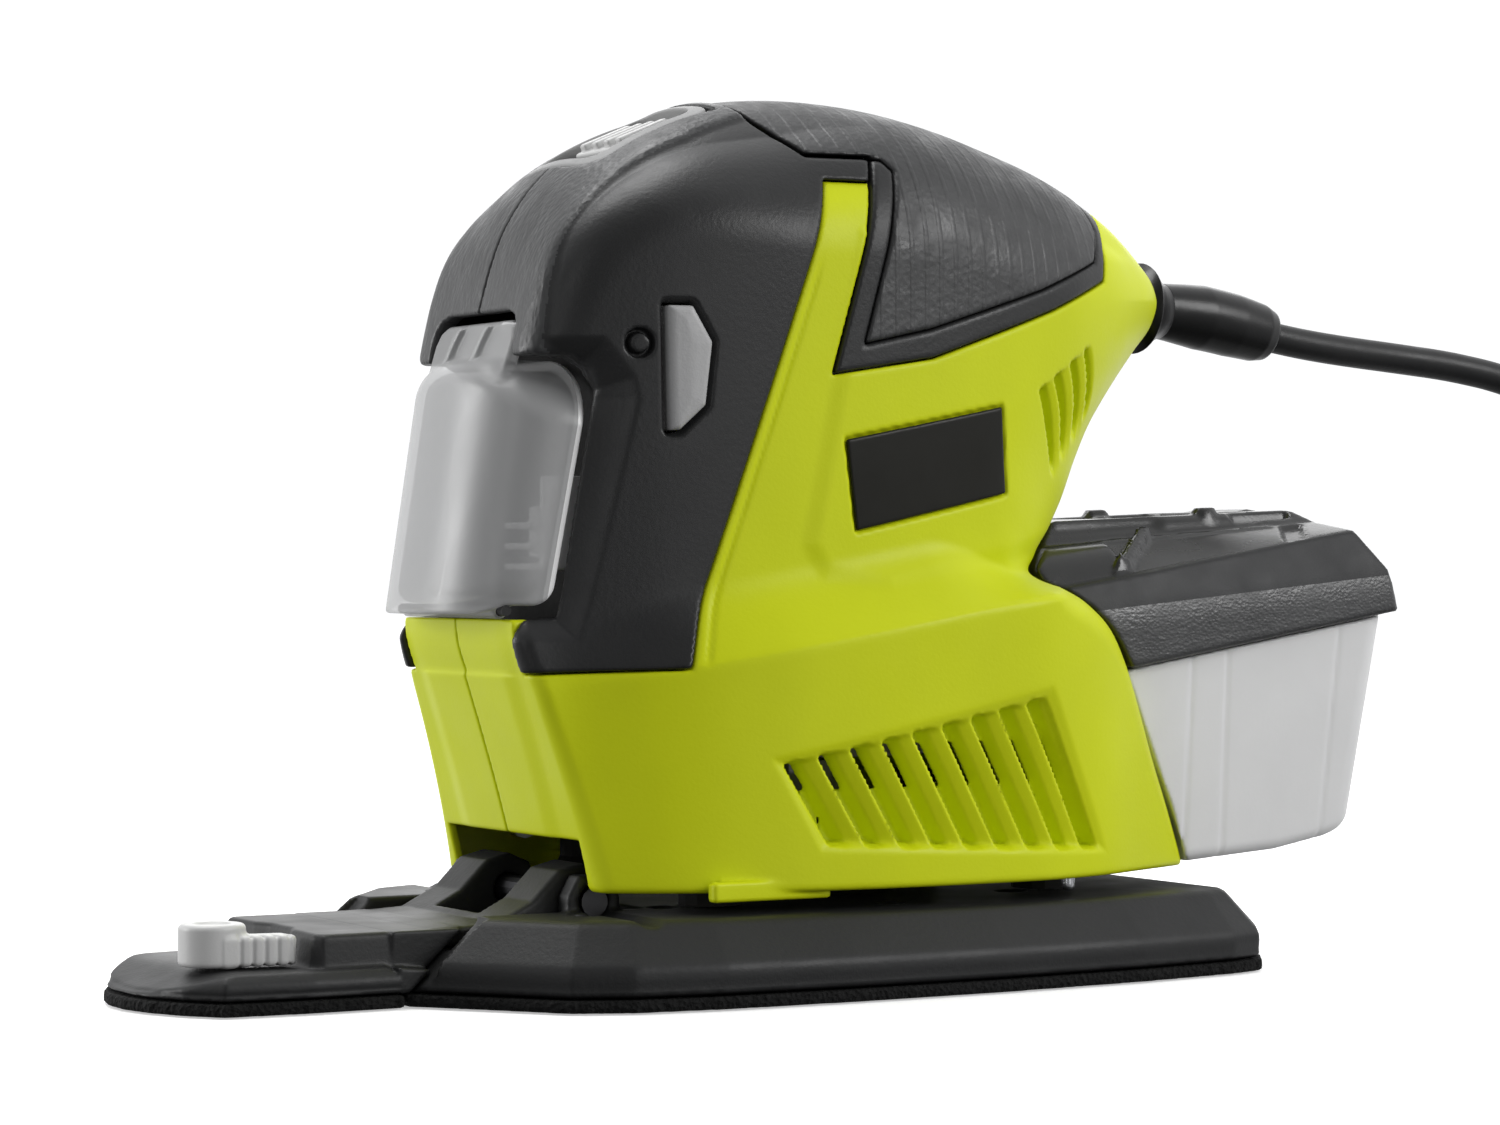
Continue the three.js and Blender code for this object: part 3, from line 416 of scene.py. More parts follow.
def poly(points, u, v):
    """Signed distance to a closed outline, negative inside."""
    p = np.array(points, np.float32)
    u, v = np.broadcast_arrays(np.asarray(u, np.float32), np.asarray(v, np.float32))
    d = np.full(u.shape, 1e9, np.float32)
    inside = np.zeros(u.shape, bool)
    for (ax, ay), (bx, by) in zip(np.roll(p, 1, 0), p):
        ex, ey = bx - ax, by - ay
        wx, wy = u - ax, v - ay
        t = np.clip((wx * ex + wy * ey) / max(ex * ex + ey * ey, 1e-9), 0, 1)
        np.minimum(d, (wx - ex * t) ** 2 + (wy - ey * t) ** 2, out=d)
        if ay != by:
            hit = ((ay > v) != (by > v)) & (u < (bx - ax) * (v - ay) / (by - ay) + ax)
            inside ^= hit
    d = np.sqrt(d)
    return np.where(inside, -d, d).astype(np.float32)


def smooth_outline(points, per=6):
    p = [[x, z, 0] for x, z in points]
    return cat(p, per)[:, :2]


def table_of(rows, sigma=3.5):
    """A look-up along x with its corners rounded."""
    r = np.array(rows, float)
    xs = np.arange(r[0, 0] - 20, r[-1, 0] + 20, 0.5)
    ys = np.interp(xs, r[:, 0], r[:, 1])
    k = np.exp(-0.5 * (np.arange(-24, 25) * 0.5 / sigma) ** 2)
    k /= k.sum()
    ys = np.convolve(np.pad(ys, 24, mode="edge"), k, "valid")
    return lambda x: np.interp(x, xs, ys).astype(np.float32)


class Grid:
    def __init__(self, lo, hi, h):
        self.h = h
        a = np.floor(np.array(lo) / h).astype(int)
        b = np.ceil(np.array(hi) / h).astype(int)
        self.a = a
        ax = [((np.arange(a[k], b[k] + 1)) * h).astype(np.float32) for k in range(3)]
        self.x, self.y, self.z = ax[0][:, None, None], ax[1][None, :, None], ax[2][None, None, :]
        self.lo = np.array([q[0] for q in ax], float)
        self.shape = tuple(len(q) for q in ax)


def sample(F, p, g):
    q = (p - g.lo) / g.h
    top = np.array(F.shape) - 1.001
    q = np.clip(q, 0, top)
    i = q.astype(np.int64)
    f = q - i
    x, y, z = i.T
    fx, fy, fz = f.T
    out = 0
    for dx in (0, 1):
        for dy in (0, 1):
            for dz in (0, 1):
                w = (fx if dx else 1 - fx) * (fy if dy else 1 - fy) * (fz if dz else 1 - fz)
                out = out + w * F[x + dx, y + dy, z + dz]
    return out


CORNERS = [(a, b, c) for a in (0, 1) for b in (0, 1) for c in (0, 1)]
EDGES = [(i, j) for i in range(8) for j in range(i + 1, 8) if sum(abs(CORNERS[i][k] - CORNERS[j][k]) for k in range(3)) == 1]


def gradient(F, p, g, e):
    n = np.stack([sample(F, p + d, g) - sample(F, p - d, g) for d in np.eye(3) * e], 1)
    return n / (2 * e)


def surface(F, g):
    """Closed quad mesh of F = 0, with normals from the field."""
    F = np.array(np.broadcast_to(F, g.shape), np.float32)
    for k in range(3):
        for end in (0, -1):
            sl = [slice(None)] * 3
            sl[k] = end
            F[tuple(sl)] = np.maximum(F[tuple(sl)], 0.3)
    S = F < 0
    nx, ny, nz = F.shape
    count = np.zeros((nx - 1, ny - 1, nz - 1), np.uint8)
    for a, b, c in CORNERS:
        count += S[a : nx - 1 + a, b : ny - 1 + b, c : nz - 1 + c]
    mixed = (count > 0) & (count < 8)
    idx = np.argwhere(mixed)
    cell = np.full(mixed.shape, -1, np.int32)
    cell[mixed] = np.arange(len(idx))
    vals = [F[idx[:, 0] + a, idx[:, 1] + b, idx[:, 2] + c] for a, b, c in CORNERS]
    acc, cnt = np.zeros((len(idx), 3)), np.zeros(len(idx))
    for i, j in EDGES:
        va, vb = vals[i], vals[j]
        m = (va < 0) != (vb < 0)
        t = np.where(m, va / np.where(m, va - vb, 1), 0)
        p = np.array(CORNERS[i]) + t[:, None] * (np.array(CORNERS[j]) - np.array(CORNERS[i]))
        acc += p * m[:, None]
        cnt += m
    pos = g.lo + (idx + acc / cnt[:, None]) * g.h
    quads = []
    for axis in range(3):
        lo_s = [slice(1, -1)] * 3
        hi_s = [slice(1, -1)] * 3
        lo_s[axis], hi_s[axis] = slice(0, -1), slice(1, None)
        A, B = S[tuple(lo_s)], S[tuple(hi_s)]
        e = np.argwhere(A != B)
        flip = ~A[tuple(e.T)]
        e = e + 1
        e[:, axis] -= 1
        o1, o2 = (axis + 1) % 3, (axis + 2) % 3

        def at(d1, d2):
            q = e.copy()
            q[:, o1] -= d1
            q[:, o2] -= d2
            return cell[tuple(q.T)]

        quad = np.stack([at(1, 1), at(0, 1), at(0, 0), at(1, 0)], 1)
        quad[flip] = quad[flip][:, ::-1]
        quads.append(quad)
    quads = np.vstack(quads)
    for _ in range(2):
        f = sample(F, pos, g)
        n = gradient(F, pos, g, g.h * 0.5)
        m2 = np.maximum((n * n).sum(1), 0.05)
        mv = -(f / m2)[:, None] * n
        ln = np.linalg.norm(mv, axis=1, keepdims=True)
        pos += mv * np.minimum(1, 0.35 * g.h / np.maximum(ln, 1e-9))
    n = gradient(F, pos, g, g.h * 0.7)
    n /= np.maximum(np.linalg.norm(n, axis=1, keepdims=True), 1e-9)
    return pos, quads, n


def mesh_of(name, pos, quads, normals, material, mirror=False):
    pos = pos.copy()
    if mirror:
        pos[:, 1] *= -1
        quads = quads[:, ::-1]
        normals = normals * [1, -1, 1]
    pos = (pos + [DX, 0, 0]) * MM
    me = bpy.data.meshes.new(name)
    k = quads.shape[1]
    me.vertices.add(len(pos))
    me.vertices.foreach_set("co", pos.astype(np.float32).ravel())
    me.loops.add(quads.size)
    me.loops.foreach_set("vertex_index", quads.astype(np.int32).ravel())
    me.polygons.add(len(quads))
    me.polygons.foreach_set("loop_start", np.arange(0, quads.size, k, dtype=np.int32))
    me.polygons.foreach_set("use_smooth", np.ones(len(quads), bool))
    me.update(calc_edges=True)
    if normals is not None:
        me.normals_split_custom_set_from_vertices(normals.astype(np.float32).tolist())
    me.materials.append(material)
    o = bpy.data.objects.new(name, me)
    bpy.context.collection.objects.link(o)
    return o


def sliced(data, sd):
    """The same skin in triangles, cut where sd changes sign, so that a second material (a finish, a painted highlight,
    a painted shade) can end on a clean line.
    """
    pos, faces, nor = data
    tri = faces if faces.shape[1] == 3 else np.vstack([faces[:, [0, 1, 2]], faces[:, [0, 2, 3]]])
    v = sd(pos)
    v = np.where(np.abs(v) < 1e-3, 1e-3, v)
    up = v[tri] > 0
    n = up.sum(1)
    cutting = (n == 1) | (n == 2)
    part, u = tri[cutting], up[cutting]
    lone = np.where(n[cutting][:, None] == 1, u, ~u).argmax(1)
    k = np.arange(len(part))
    a, b, c = part[k, lone], part[k, (lone + 1) % 3], part[k, (lone + 2) % 3]
    e = np.sort(np.vstack([np.stack([a, b], 1), np.stack([a, c], 1)]), axis=1)
    uniq, inv = np.unique(e, axis=0, return_inverse=True)
    inv = np.asarray(inv).ravel()
    p, q = uniq[:, 0], uniq[:, 1]
    w = (v[p] / (v[p] - v[q]))[:, None]
    ab, ac = len(pos) + inv[: len(a)], len(pos) + inv[len(a) :]
    tri = np.vstack([tri[~cutting], np.stack([a, ab, ac], 1), np.stack([ab, b, c], 1), np.stack([ab, c, ac], 1)])
    nn = nor[p] * (1 - w) + nor[q] * w
    nn = nn / np.maximum(np.linalg.norm(nn, axis=1, keepdims=True), 1e-9)
    return np.vstack([pos, pos[p] * (1 - w) + pos[q] * w]), tri, np.vstack([nor, nn])


def put(name, data, material, body, nodes, mirror=False, second=None, where=None):
    """second is a second material (a finish, a painted highlight, a painted shade) for the faces whose middles, in
    design mm on the near side, pass where().
    """
    o = mesh_of(name, *data, material, mirror)
    if second:
        mid = data[0][data[1]].mean(1)
        o.data.materials.append(second)
        o.data.polygons.foreach_set("material_index", where(mid).astype(np.int32))
    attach(o, body)
    if nodes:
        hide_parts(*nodes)
    return o


def tube(rings, closed_ends=True):
    """Skin over rings of points, all the same count; the ends are left open."""
    n = len(rings[0])
    pts = np.vstack(rings)
    q = []
    for i in range(len(rings) - 1):
        a = i * n + np.arange(n)
        b = i * n + (np.arange(n) + 1) % n
        q.append(np.stack([a, b, b + n, a + n], 1))
    return pts, np.vstack(q)


# ------------------------------------------------------------------ the body's form
SIDE = [
    (-46, 8), (-46.6, 17.5), (-48.2, 25), (-51.5, 37), (-56.2, 52), (-58.8, 60), (-59.2, 68), (-58.6, 80), (-57.2, 95), (-55.4, 108), (-52.9, 118.6), (-49.3, 129.3),
    (-45, 136.3), (-40.5, 141.2), (-37.2, 143.8), (-30.5, 147.8), (-22.5, 151.4), (-14.4, 153.9), (-6.2, 155.3), (2, 155.6), (12, 154.9), (27.5, 152.4), (36.2, 150.4),
    (44.9, 147.9), (53.8, 144.8), (62.8, 141), (71.9, 136.6), (79.6, 131.4), (84.3, 127), (86, 122), (84, 116.6), (79.5, 112), (73, 105.5), (66.8, 98.6), (61.2, 91),
    (55.8, 84), (50.0, 78), (45.6, 73), (43.2, 70.2), (47.8, 67.4), (54.6, 62.2), (59.4, 55.5), (62.2, 50), (67.6, 38), (72.6, 28), (77.4, 17.5), (80, 8),
]
W_LOW = table_of([(-62, 25), (-52, 26.5), (-46, 30), (-38, 35.5), (-28, 40), (-15, 43.8), (0, 45.6), (15, 46), (35, 45.2), (50, 41), (62, 34.8), (72, 30), (82, 25)])
W_UP = table_of([(-62, 24), (-55, 24.8), (-49, 26.8), (-42, 29.6), (-34, 32.4), (-24, 34.4), (-12, 35.6), (5, 36), (20, 35.5), (35, 34), (50, 30.5), (62, 25.5), (72, 19.5), (80, 14.5), (90, 10)])
R_UP = table_of([(-62, 6), (-48, 7), (-38, 11), (-25, 19), (-8, 28), (0, 29), (40, 28), (60, 21), (75, 15), (90, 9)], 5)
R_LOW = table_of([(-62, 3), (-40, 3), (0, 6), (45, 7), (64, 4), (72, 2.6), (80, 2.4)], 4)
OUTLINE = smooth_outline(SIDE)
BASE_Z, WALL = 17.8, 2.4


def side_fields(x, z):
    """Outline distance, half-width and rounding over the side view."""
    a = poly(OUTLINE, x, z)
    sh = 52 + (x + 54) * 0.176
    rearward = step((x - 14) / 26)
    s = step((z - sh + 1.5) / (15 - 10 * rearward))
    s = 0.55 * s + 0.45 * (1 - (1 - np.clip((z - sh) / (13 - 9.5 * rearward), 0, 1)) ** 2)
    w = W_LOW(x) * (1 - s) + W_UP(x) * s
    t = step((z - 62) / 38)
    r = R_LOW(x) * (1 - t) + R_UP(x) * t
    return a, w.astype(np.float32), r.astype(np.float32)


def body_field(g):
    a, w, r = side_fields(g.x, g.z)
    # the top of the front is crowned across the width
    y = g.y.ravel()
    flat = a[:, 0, :]
    nz = flat.shape[1]
    dz = float(g.z.ravel()[1] - g.z.ravel()[0])
    mask = (step((g.z - 118) / 22) * step((22 - g.x) / 40))[:, 0, :]
    rows, k = np.arange(flat.shape[0])[:, None], np.arange(nz)[None, :]
    full = np.empty((flat.shape[0], len(y), nz), np.float32)
    for j, yy in enumerate(y):
        at = np.clip(k + mask * (0.010 * min(abs(yy), 22) ** 2 / dz), 0, nz - 1.001)
        lo = at.astype(int)
        fr = at - lo
        full[:, j, :] = flat[rows, lo] * (1 - fr) + flat[rows, lo + 1] * fr
    a = full
    b = np.abs(g.y) - w
    return rmax(a, b, r)


COVER_XZ = [(-90, 53.4), (-32.6, 55.4), (-3.1, 139.2), (5.6, 139.2), (7.3, 143.6), (-4.8, 143.6), (-10, 149.3), (-12.7, 154.4), (-12.7, 190), (-90, 190)]
GRIP_XZ = [(-12.4, 190), (-12.4, 154.5), (-9.7, 149.6), (-4.6, 143.9), (7.7, 143.9), (6, 139.2), (-3.7, 105.6), (16.5, 108.8), (44.3, 118.2), (59, 124.2), (61.4, 130.6), (65, 137.6), (70, 190)]
SOFT_XZ = [(9.4, 143.3), (11, 141.4), (2.1, 110.7), (15.9, 113.7), (41.5, 121.6), (57, 127.5), (60.5, 134), (64, 190), (-16, 190), (-16, 154.5), (-10.5, 149), (-5.2, 143.3)]
BADGE = [(-1.4, 94.4), (31.4, 100.7), (32.4, 85.5), (0.6, 78.8)]
BUTTON = [(-34.5, 116.6), (-30.4, 116.6), (-27, 110.5), (-28.2, 99.8), (-32.6, 95.6), (-34.0, 95.6)]
POCKET_YZ = [(-23.2, 64), (23.2, 64), (23.2, 101.2), (22.4, 103.4), (20.6, 105.2), (17.8, 106.6), (15.9, 107.4), (15.7, 113.2), (14.2, 115.2), (11.4, 116.2), (-11.4, 116.2), (-14.2, 115.2), (-15.7, 113.2), (-15.9, 107.4), (-17.8, 106.6), (-20.6, 105.2), (-22.4, 103.4), (-23.2, 101.2)]
CHEEK_IN = [(-90, 60), (-48.8, 60), (-46.5, 66.9), (-38.8, 100.7), (-39.5, 104.5), (-44.5, 111.5), (-90, 111.5)]
SLOT_FIELD = [(-17.3, 39.2), (34.5, 49.6), (47.3, 23.0), (-9.7, 25.7)]
PANEL_EDGE = [(-20.4, 40.6), (36.2, 52.2), (50.6, 21.6), (-11.4, 24.2)]
CHEEK_XZ = [(-90, 66.2), (-52.9, 66.2), (-50.6, 68.4), (-44.1, 102.5), (-45.6, 106), (-49, 108.2), (-90, 108.2)]
SLOPE = math.atan2(10.2, 24)
TILT = math.radians(10)


def slope_frame(g):
    """Along and above the switch's ramp."""
    dx, dz = g.x + 30.5, g.z - 147.2
    u = dx * math.cos(SLOPE) + dz * math.sin(SLOPE)
    v = -dx * math.sin(SLOPE) + dz * math.cos(SLOPE)
    return u, v  # u 0 is x -30.5


VENTS = [
    [(40.5, 103.7), (43.6, 96.0), (46.0, 88.6)], [(44.4, 105.8), (47.6, 98.4), (48.6, 91.6)], [(48.7, 108.5), (51.2, 102.3), (52.1, 95.0)],
    [(52.9, 111.0), (55.3, 105.3), (56.3, 98.9)], [(54.9, 112.6), (57.5, 105.6), (57.6, 99.4)],
]


def vents(x, z):
    """Depth of the four curved vents behind the badge: steep in front, climbing to the next crest."""
    out = np.zeros(np.broadcast(x, z).shape)
    line = [np.polyfit([p[1] for p in c], [p[0] for p in c], 2) for c in VENTS]
    for k in range(4):
        c0, c1 = np.polyval(line[k], z), np.polyval(line[k + 1], z)
        fr = (x - c0) / np.maximum(c1 - c0, 0.6)
        m = step((103.9 + (x - 40.5) * 0.61 - z) / 0.6) * step((z - VENTS[k][2][1] + 0.5) / 5.5)
        p = np.interp(fr, [0, 0.05, 0.14, 0.42, 0.58, 1.0], [0, 0.2, 2.5, 2.3, 0.75, 0], left=0, right=0)
        out = np.maximum(out, p * m)
    return out


def slats(x, z):
    """Position across the eight slats: 0 at one slat's front edge, 1 at the next, with its index."""
    # slat i runs from its top point down and back to its bottom point; both ends step evenly
    t = (49.5 - z) / 25.0
    for _ in range(2):
        top = lambda i: (-11.6 + i * 5.95, 40.6 + i * 1.19)
        bot = lambda i: (-2.8 + i * 6.59, 25.6 - i * 0.35)
        i = (x - (-11.6 + 8.8 * t)) / (5.95 + 0.64 * t)
        t = (40.6 + i * 1.19 - z) / (15.0 + i * 1.54)
    i = (x - (-11.6 + 8.8 * t)) / (5.95 + 0.64 * t)
    return i


def side_detail(g):
    """How far the lime side is let in, mm, over the side view; how much thicker the wall is there; and where it is cut right through."""
    x, z = g.x, g.z
    d = 0.75 * step(-poly(PANEL_EDGE, x, z) / 2.6)
    s = poly(SLOT_FIELD, x, z)
    i = slats(x, z)
    # behind each crest the wall drops, then a steep facet and a flat crown climb to the next crest
    n = np.clip(np.floor(i), -1, 7)
    fr = np.where(n < 0, np.clip((i + 1.06) / 1.06, 0, 1), np.clip(i - n, 0, 1.6))
    prof = np.interp(fr, [0, 0.02, 0.09, 0.40, 0.57, 0.80, 1.0], [0.0, 0.2, 3.5, 3.5, 1.3, 0.55, 0.0])
    d = d + prof * step(-s / 0.6 + 0.4)
    wide = np.clip(0.17 - 0.008 * (n + 1), 0.1, 0.2)
    slot = np.maximum(np.maximum(s + 0.3, np.abs(z - 38.6) - 3.6), (np.abs(fr - 0.25 - wide * 0.2) - wide) * 6)
    thick = 3.1 * step(1 - poly(SLOT_FIELD, x, z) / 3)
    d = d + vents(x, z)
    thick = thick + 2.2 * step(1 - poly([(38, 108), (62, 118), (62, 96), (50, 88), (44, 88)], x, z) / 2)
    # the shoulder's wall is kept thick where the form turns
    thick = np.maximum(thick, 1.8 * step((z - 46) / 5) * step((80 - z) / 5))
    # thin groove along the cover's rear edge
    sc = poly(COVER_XZ, x, z)
    d = d + 0.42 * np.exp(-(((sc - 2.1) / 0.42) ** 2)) * step((126 - z) / 6) * step((z - 55.5) / 2)
    # the field round the badge stands a little proud of the band beside the cover
    field = [(3, 130), (-2.6, 104), (-8.4, 76.5), (-5.4, 71.4), (6, 69.6), (80, 84), (80, 130)]
    s = poly(field, x, z)
    d = d + 0.7 * step((s + 2.0) / 4.0)
    # the badge's seat
    d = d + 1.0 * step(-(poly(BADGE, x, z) - 0.35) / 0.5 + 0.5)
    return d.astype(np.float32), thick.astype(np.float32), slot.astype(np.float32)


def shells():
    """Both body halves and the front covers, cut from one form."""
    g = Grid((-64, -49, 14), (90, 2, 159), H)
    f = body_field(g)
    x, y, z = g.x, g.y, g.z
    ay = np.abs(y)
    sc = poly(COVER_XZ, x, z)
    sg = poly(GRIP_XZ, x, z)
    u, v = slope_frame(g)
    seam = y + 0.1
    inner = -(f + WALL)
    nose = np.maximum(np.maximum(ay - 25, z - 26.5), x + 33.5)
    gland = np.hypot(y, (z - 121.9) + (x - 80) * 0.07) - 6.2
    gland = np.maximum(gland, 68 - x)
    out = np.hypot(y, -(x - 50) * math.sin(TILT) + (z - 58.4) * math.cos(TILT)) - 6.8
    out = np.maximum(out, 44 - x)
    column = rmax(rmax(ay - 21.4, z - 63.7, 0.8), x + 20, 0.8)

    # lime half
    d, thick, slot = side_detail(g)
    near = step((ay - 14) / 6)
    d = d * near
    inner_h = -(f + WALL + thick * near)
    skin = f + d
    keep = np.minimum(np.maximum(0.15 - sc, 0.15 - sg), column)
    # union of what lies outside both regions with the column between the cheeks
    lime = rmax(np.maximum(0.15 - sc, 0.15 - sg), -np.maximum(np.maximum(ay - 21.7, z - 64), x + 19.7) + 0 * z, 0.4)
    lime = np.minimum(np.maximum(0.15 - sc, 0.15 - sg), np.maximum(column, f + 0.5))
    q = rmax(skin, lime, 0.55)
    q = rmax(q, BASE_Z - z, 1.1)
    q = rmax(q, inner_h, 0.25)
    q = rmax(q, -np.maximum(slot, 20 - ay), 0.2)
    tab = rmax(rmax(np.abs(x + 19.6) - 11.4, np.abs(ay - 40.6) - 1.3, 0.6), np.abs(z - 18.2) - 1.7, 0.4)
    q = rmin(q, tab, 0.4)
    q = rmax(q, -nose, 0.5)
    q = rmax(q, -gland, 0.5)
    q = rmax(q, -out, 0.4)
    q = rmax(q, seam, 0.3)
    housing = surface(q, g)

    # front cover: the leathery band up the middle stands proud of the smooth flank
    band_w = 23.2 - 3.4 * np.clip((z - 113) / 36, 0, 1.3) - 2.5 * np.clip((x + 25) / 14, 0, 1)
    band = step((band_w - ay) / 1.5 + 0.5) * step((z - 104) / 6)
    fc = f - 0.75 * band
    # dished cheek beside the clear cover
    fc = fc + 4.4 * np.clip(-poly(CHEEK_IN, x, z) / 5.4, 0, 1) ** 1.35 * (1 - band) * step((ay - 19.5) / 2.5)
    but = poly(BUTTON, x, z)
    fc = fc + 1.6 * step((1.2 - but) / 0.8)
    cov = rmax(fc, sc + 0.15, 0.55)
    pocket = rmax(np.maximum(poly(POCKET_YZ, y, z), x + 39.6), -80 - x, 0.3)
    cov = rmax(cov, -pocket, 0.8)
    croom = np.maximum(np.maximum(ay - 21.7, z - 64), x + 19.7)
    cov = rmax(cov, -croom, 0.5)
    cov = rmax(cov, -poly(CHEEK_XZ, x, z), 0.6)
    hole = np.maximum(np.maximum(np.abs(u - 3.0) - 11.1, ay - 11.6), np.abs(v - 2) - 14)
    cov = rmax(cov, -hole, 0.3)
    room = np.maximum(np.maximum(np.abs(u - 3.0) - 13.9, ay - 13.6), -1.4 - v)
    cov = rmax(cov, -room, 0.3)
    through = np.maximum(but - 0.4, 12 + y)
    cov = rmax(cov, -through, 0.3)
    screw = np.hypot((x + 38.9) * 1.05, z - 110.2)
    cov = rmax(cov, -np.maximum(np.maximum(np.abs(screw - 2.1) - 0.45, -(f + 1.7)), 16 - ay), 0.15)
    jamb = 4.6 * step((-41 - x) / 2) * step((113 - z) / 4) * step((z - 60) / 2)
    cov = rmax(cov, -(f + WALL + jamb), 0.25)
    cov = rmax(cov, seam, 0.35)
    cover = surface(cov, g)
    return housing, cover


def grip_parts():
    g = Grid((-14.5, -38, 103), (72, 38, 158), H)
    f = body_field(g)
    x, y, z = g.x, g.y, g.z
    sg = poly(GRIP_XZ, x, z)
    ss = poly(SOFT_XZ, x, z)
    inner = -(f + WALL)
    # the insert is bounded by its side outline alone
    edge = ss
    frame_f = f + 0.45 * step((0.5 - edge) / 0.6)
    q = rmax(frame_f, sg + 0.15, 0.5)
    q = rmax(q, inner, 0.25)
    frame_ = surface(rmax(q, -(np.maximum(edge + 0.05, -(f + 1.75))), 0.15), g)
    s = rmax(f - 0.15, edge + 0.2, 0.7)
    s = rmax(s, -(f + 1.7), 0.2)
    s = rmax(s, sg + 0.2, 0.5)
    soft = surface(s, g)
    return frame_, soft


def badge_part():
    h = H * 0.6
    g = Grid((-4, -50, 75), (35, -24, 104), h)
    f = body_field(g)
    p = poly(BADGE, g.x, g.z)
    q = rmax(f - 0.18, p, 0.35)
    q = rmax(q, -(f + 0.75), 0.2)
    return surface(q, g)


def button_part():
    h = H * 0.6
    g = Grid((-39, -39, 93), (-24, -20, 119), h)
    f = body_field(g)
    p = poly(BUTTON, g.x, g.z)
    # crowned front with a soft bevel
    q = rmax(f - 1.1 - 0.35 * step((-p) / 3.5), p, 1.1)
    q = rmax(q, -(f + 4.5), 0.3)
    return surface(q, g)


def storage_cover_part():
    g = Grid((-67.5, -25, 62.5), (-39, 25, 118), H * 0.8)
    x, y, z = g.x, g.y, g.z
    ay = np.abs(y)
    ln = (z - 84) * 0.156

    def form(d):
        u = np.maximum(-(x - ln - (-64.6 + 17.4)), 0)
        e = (np.abs(u) / (17.4 - d)) ** 2.5 + (ay / (22.9 - d)) ** 2.5
        return (e ** 0.4 - 1) * 17.0

    crown = 108.0 - 7.6 * np.clip((ay - 6) / 17, 0, 1) ** 2.0
    foot = np.clip(64.5 + (x + 63.2) * 0.36, 64.5, 66.0)
    outer = rmax(form(0), z - crown, 4.4)
    inn = rmax(form(1.6), np.maximum(z - crown + 1.7, foot + 1.7 - z), 3.0)
    q = np.maximum(outer, -inn)
    rear = x - (-51.5 + (z - 66) * 0.196)
    q = rmax(q, rmax(rear, foot - z, 3.4), 0.6)
    low = np.maximum(np.maximum(-53.6 - x, ay - 21.1), z - 70)
    q = rmax(q, -low, 0.3)
    # knuckle round the hinge pin
    kn = rmax(np.hypot(x + 59, z - 65.3) - 1.5, ay - 18.6, 0.5)
    q = rmin(q, kn, 0.8)
    q = np.maximum(q, -np.maximum(np.hypot(x + 59, z - 65.2) - 0.95, ay - 20.9))
    # finger tab leaning back with the body, with curved ribs on it
    lean_x = -55.4 + (z - 106.6) * 0.31
    tab_t = (np.abs(x - lean_x) - 1.3) * 0.92
    tab_out = poly([(-15.1, 104), (15.1, 104), (15.2, 111.4), (14.2, 113.6), (12, 114.6), (-12, 114.6), (-14.2, 113.6), (-15.2, 111.4)], y, z)
    tab = rmax(tab_t, tab_out, 0.8)
    tab = np.maximum(tab, -inn)
    q = rmin(q, tab, 1.2)
    for yc in (-5.2, 5.4):
        bend = yc + 1.4 * (1 - ((z - 109) / 5.5) ** 2) - 0.22 * (z - 109)
        rib = rmax(np.abs(y - bend) - 0.9, (lean_x - 2.4 - x) * 0.92, 0.5)
        rib = rmax(rib, np.maximum(np.maximum(104 - z, z - 113.8), x - lean_x), 0.5)
        rib = np.maximum(rib, -inn)
        q = rmin(q, rib, 0.6)
    return surface(q, g)


def switch_parts():
    """Slider with its ribs, and the pale arch round its track, both in the ramp's own frame."""
    h = H * 0.5
    g = Grid((-44, -15.5, 134), (-11, 15.5, 160), h)
    f = body_field(g)
    u, v = slope_frame(g)
    y = g.y
    ay = np.abs(y)
    # slider on the ramp, with four ribs running up it
    q = rmax(rmax(np.abs(u - 5.1) - 6.45, ay - 9.0, 1.6), np.abs(v + 2.6) - 1.4, 0.5)
    for yy in (-6.6, -2.2, 2.2, 6.6):
        rib = rmax(np.abs(u - 5.0) - 5.2, np.abs(y - yy) - 1.0, 0.5)
        q = rmin(q, rmax(rib, np.abs(v + 1.1) - 1.25, 0.5), 0.35)
    slider = surface(q, g)
    # surround: arch-shaped rim, open in the middle, riding on the body's form
    au = u - 3.0
    out = rmax(np.abs(au) - 13.5, ay - 13.8, 5.0)
    hole = rmax(np.abs(au) - 11.3, ay - 10.9, 4.0)
    s = rmax(f - 0.55, out, 0.4)
    s = rmax(s, -hole, 0.4)
    s = rmax(s, -(f + 1.9), 0.2)
    return slider, surface(s, g)


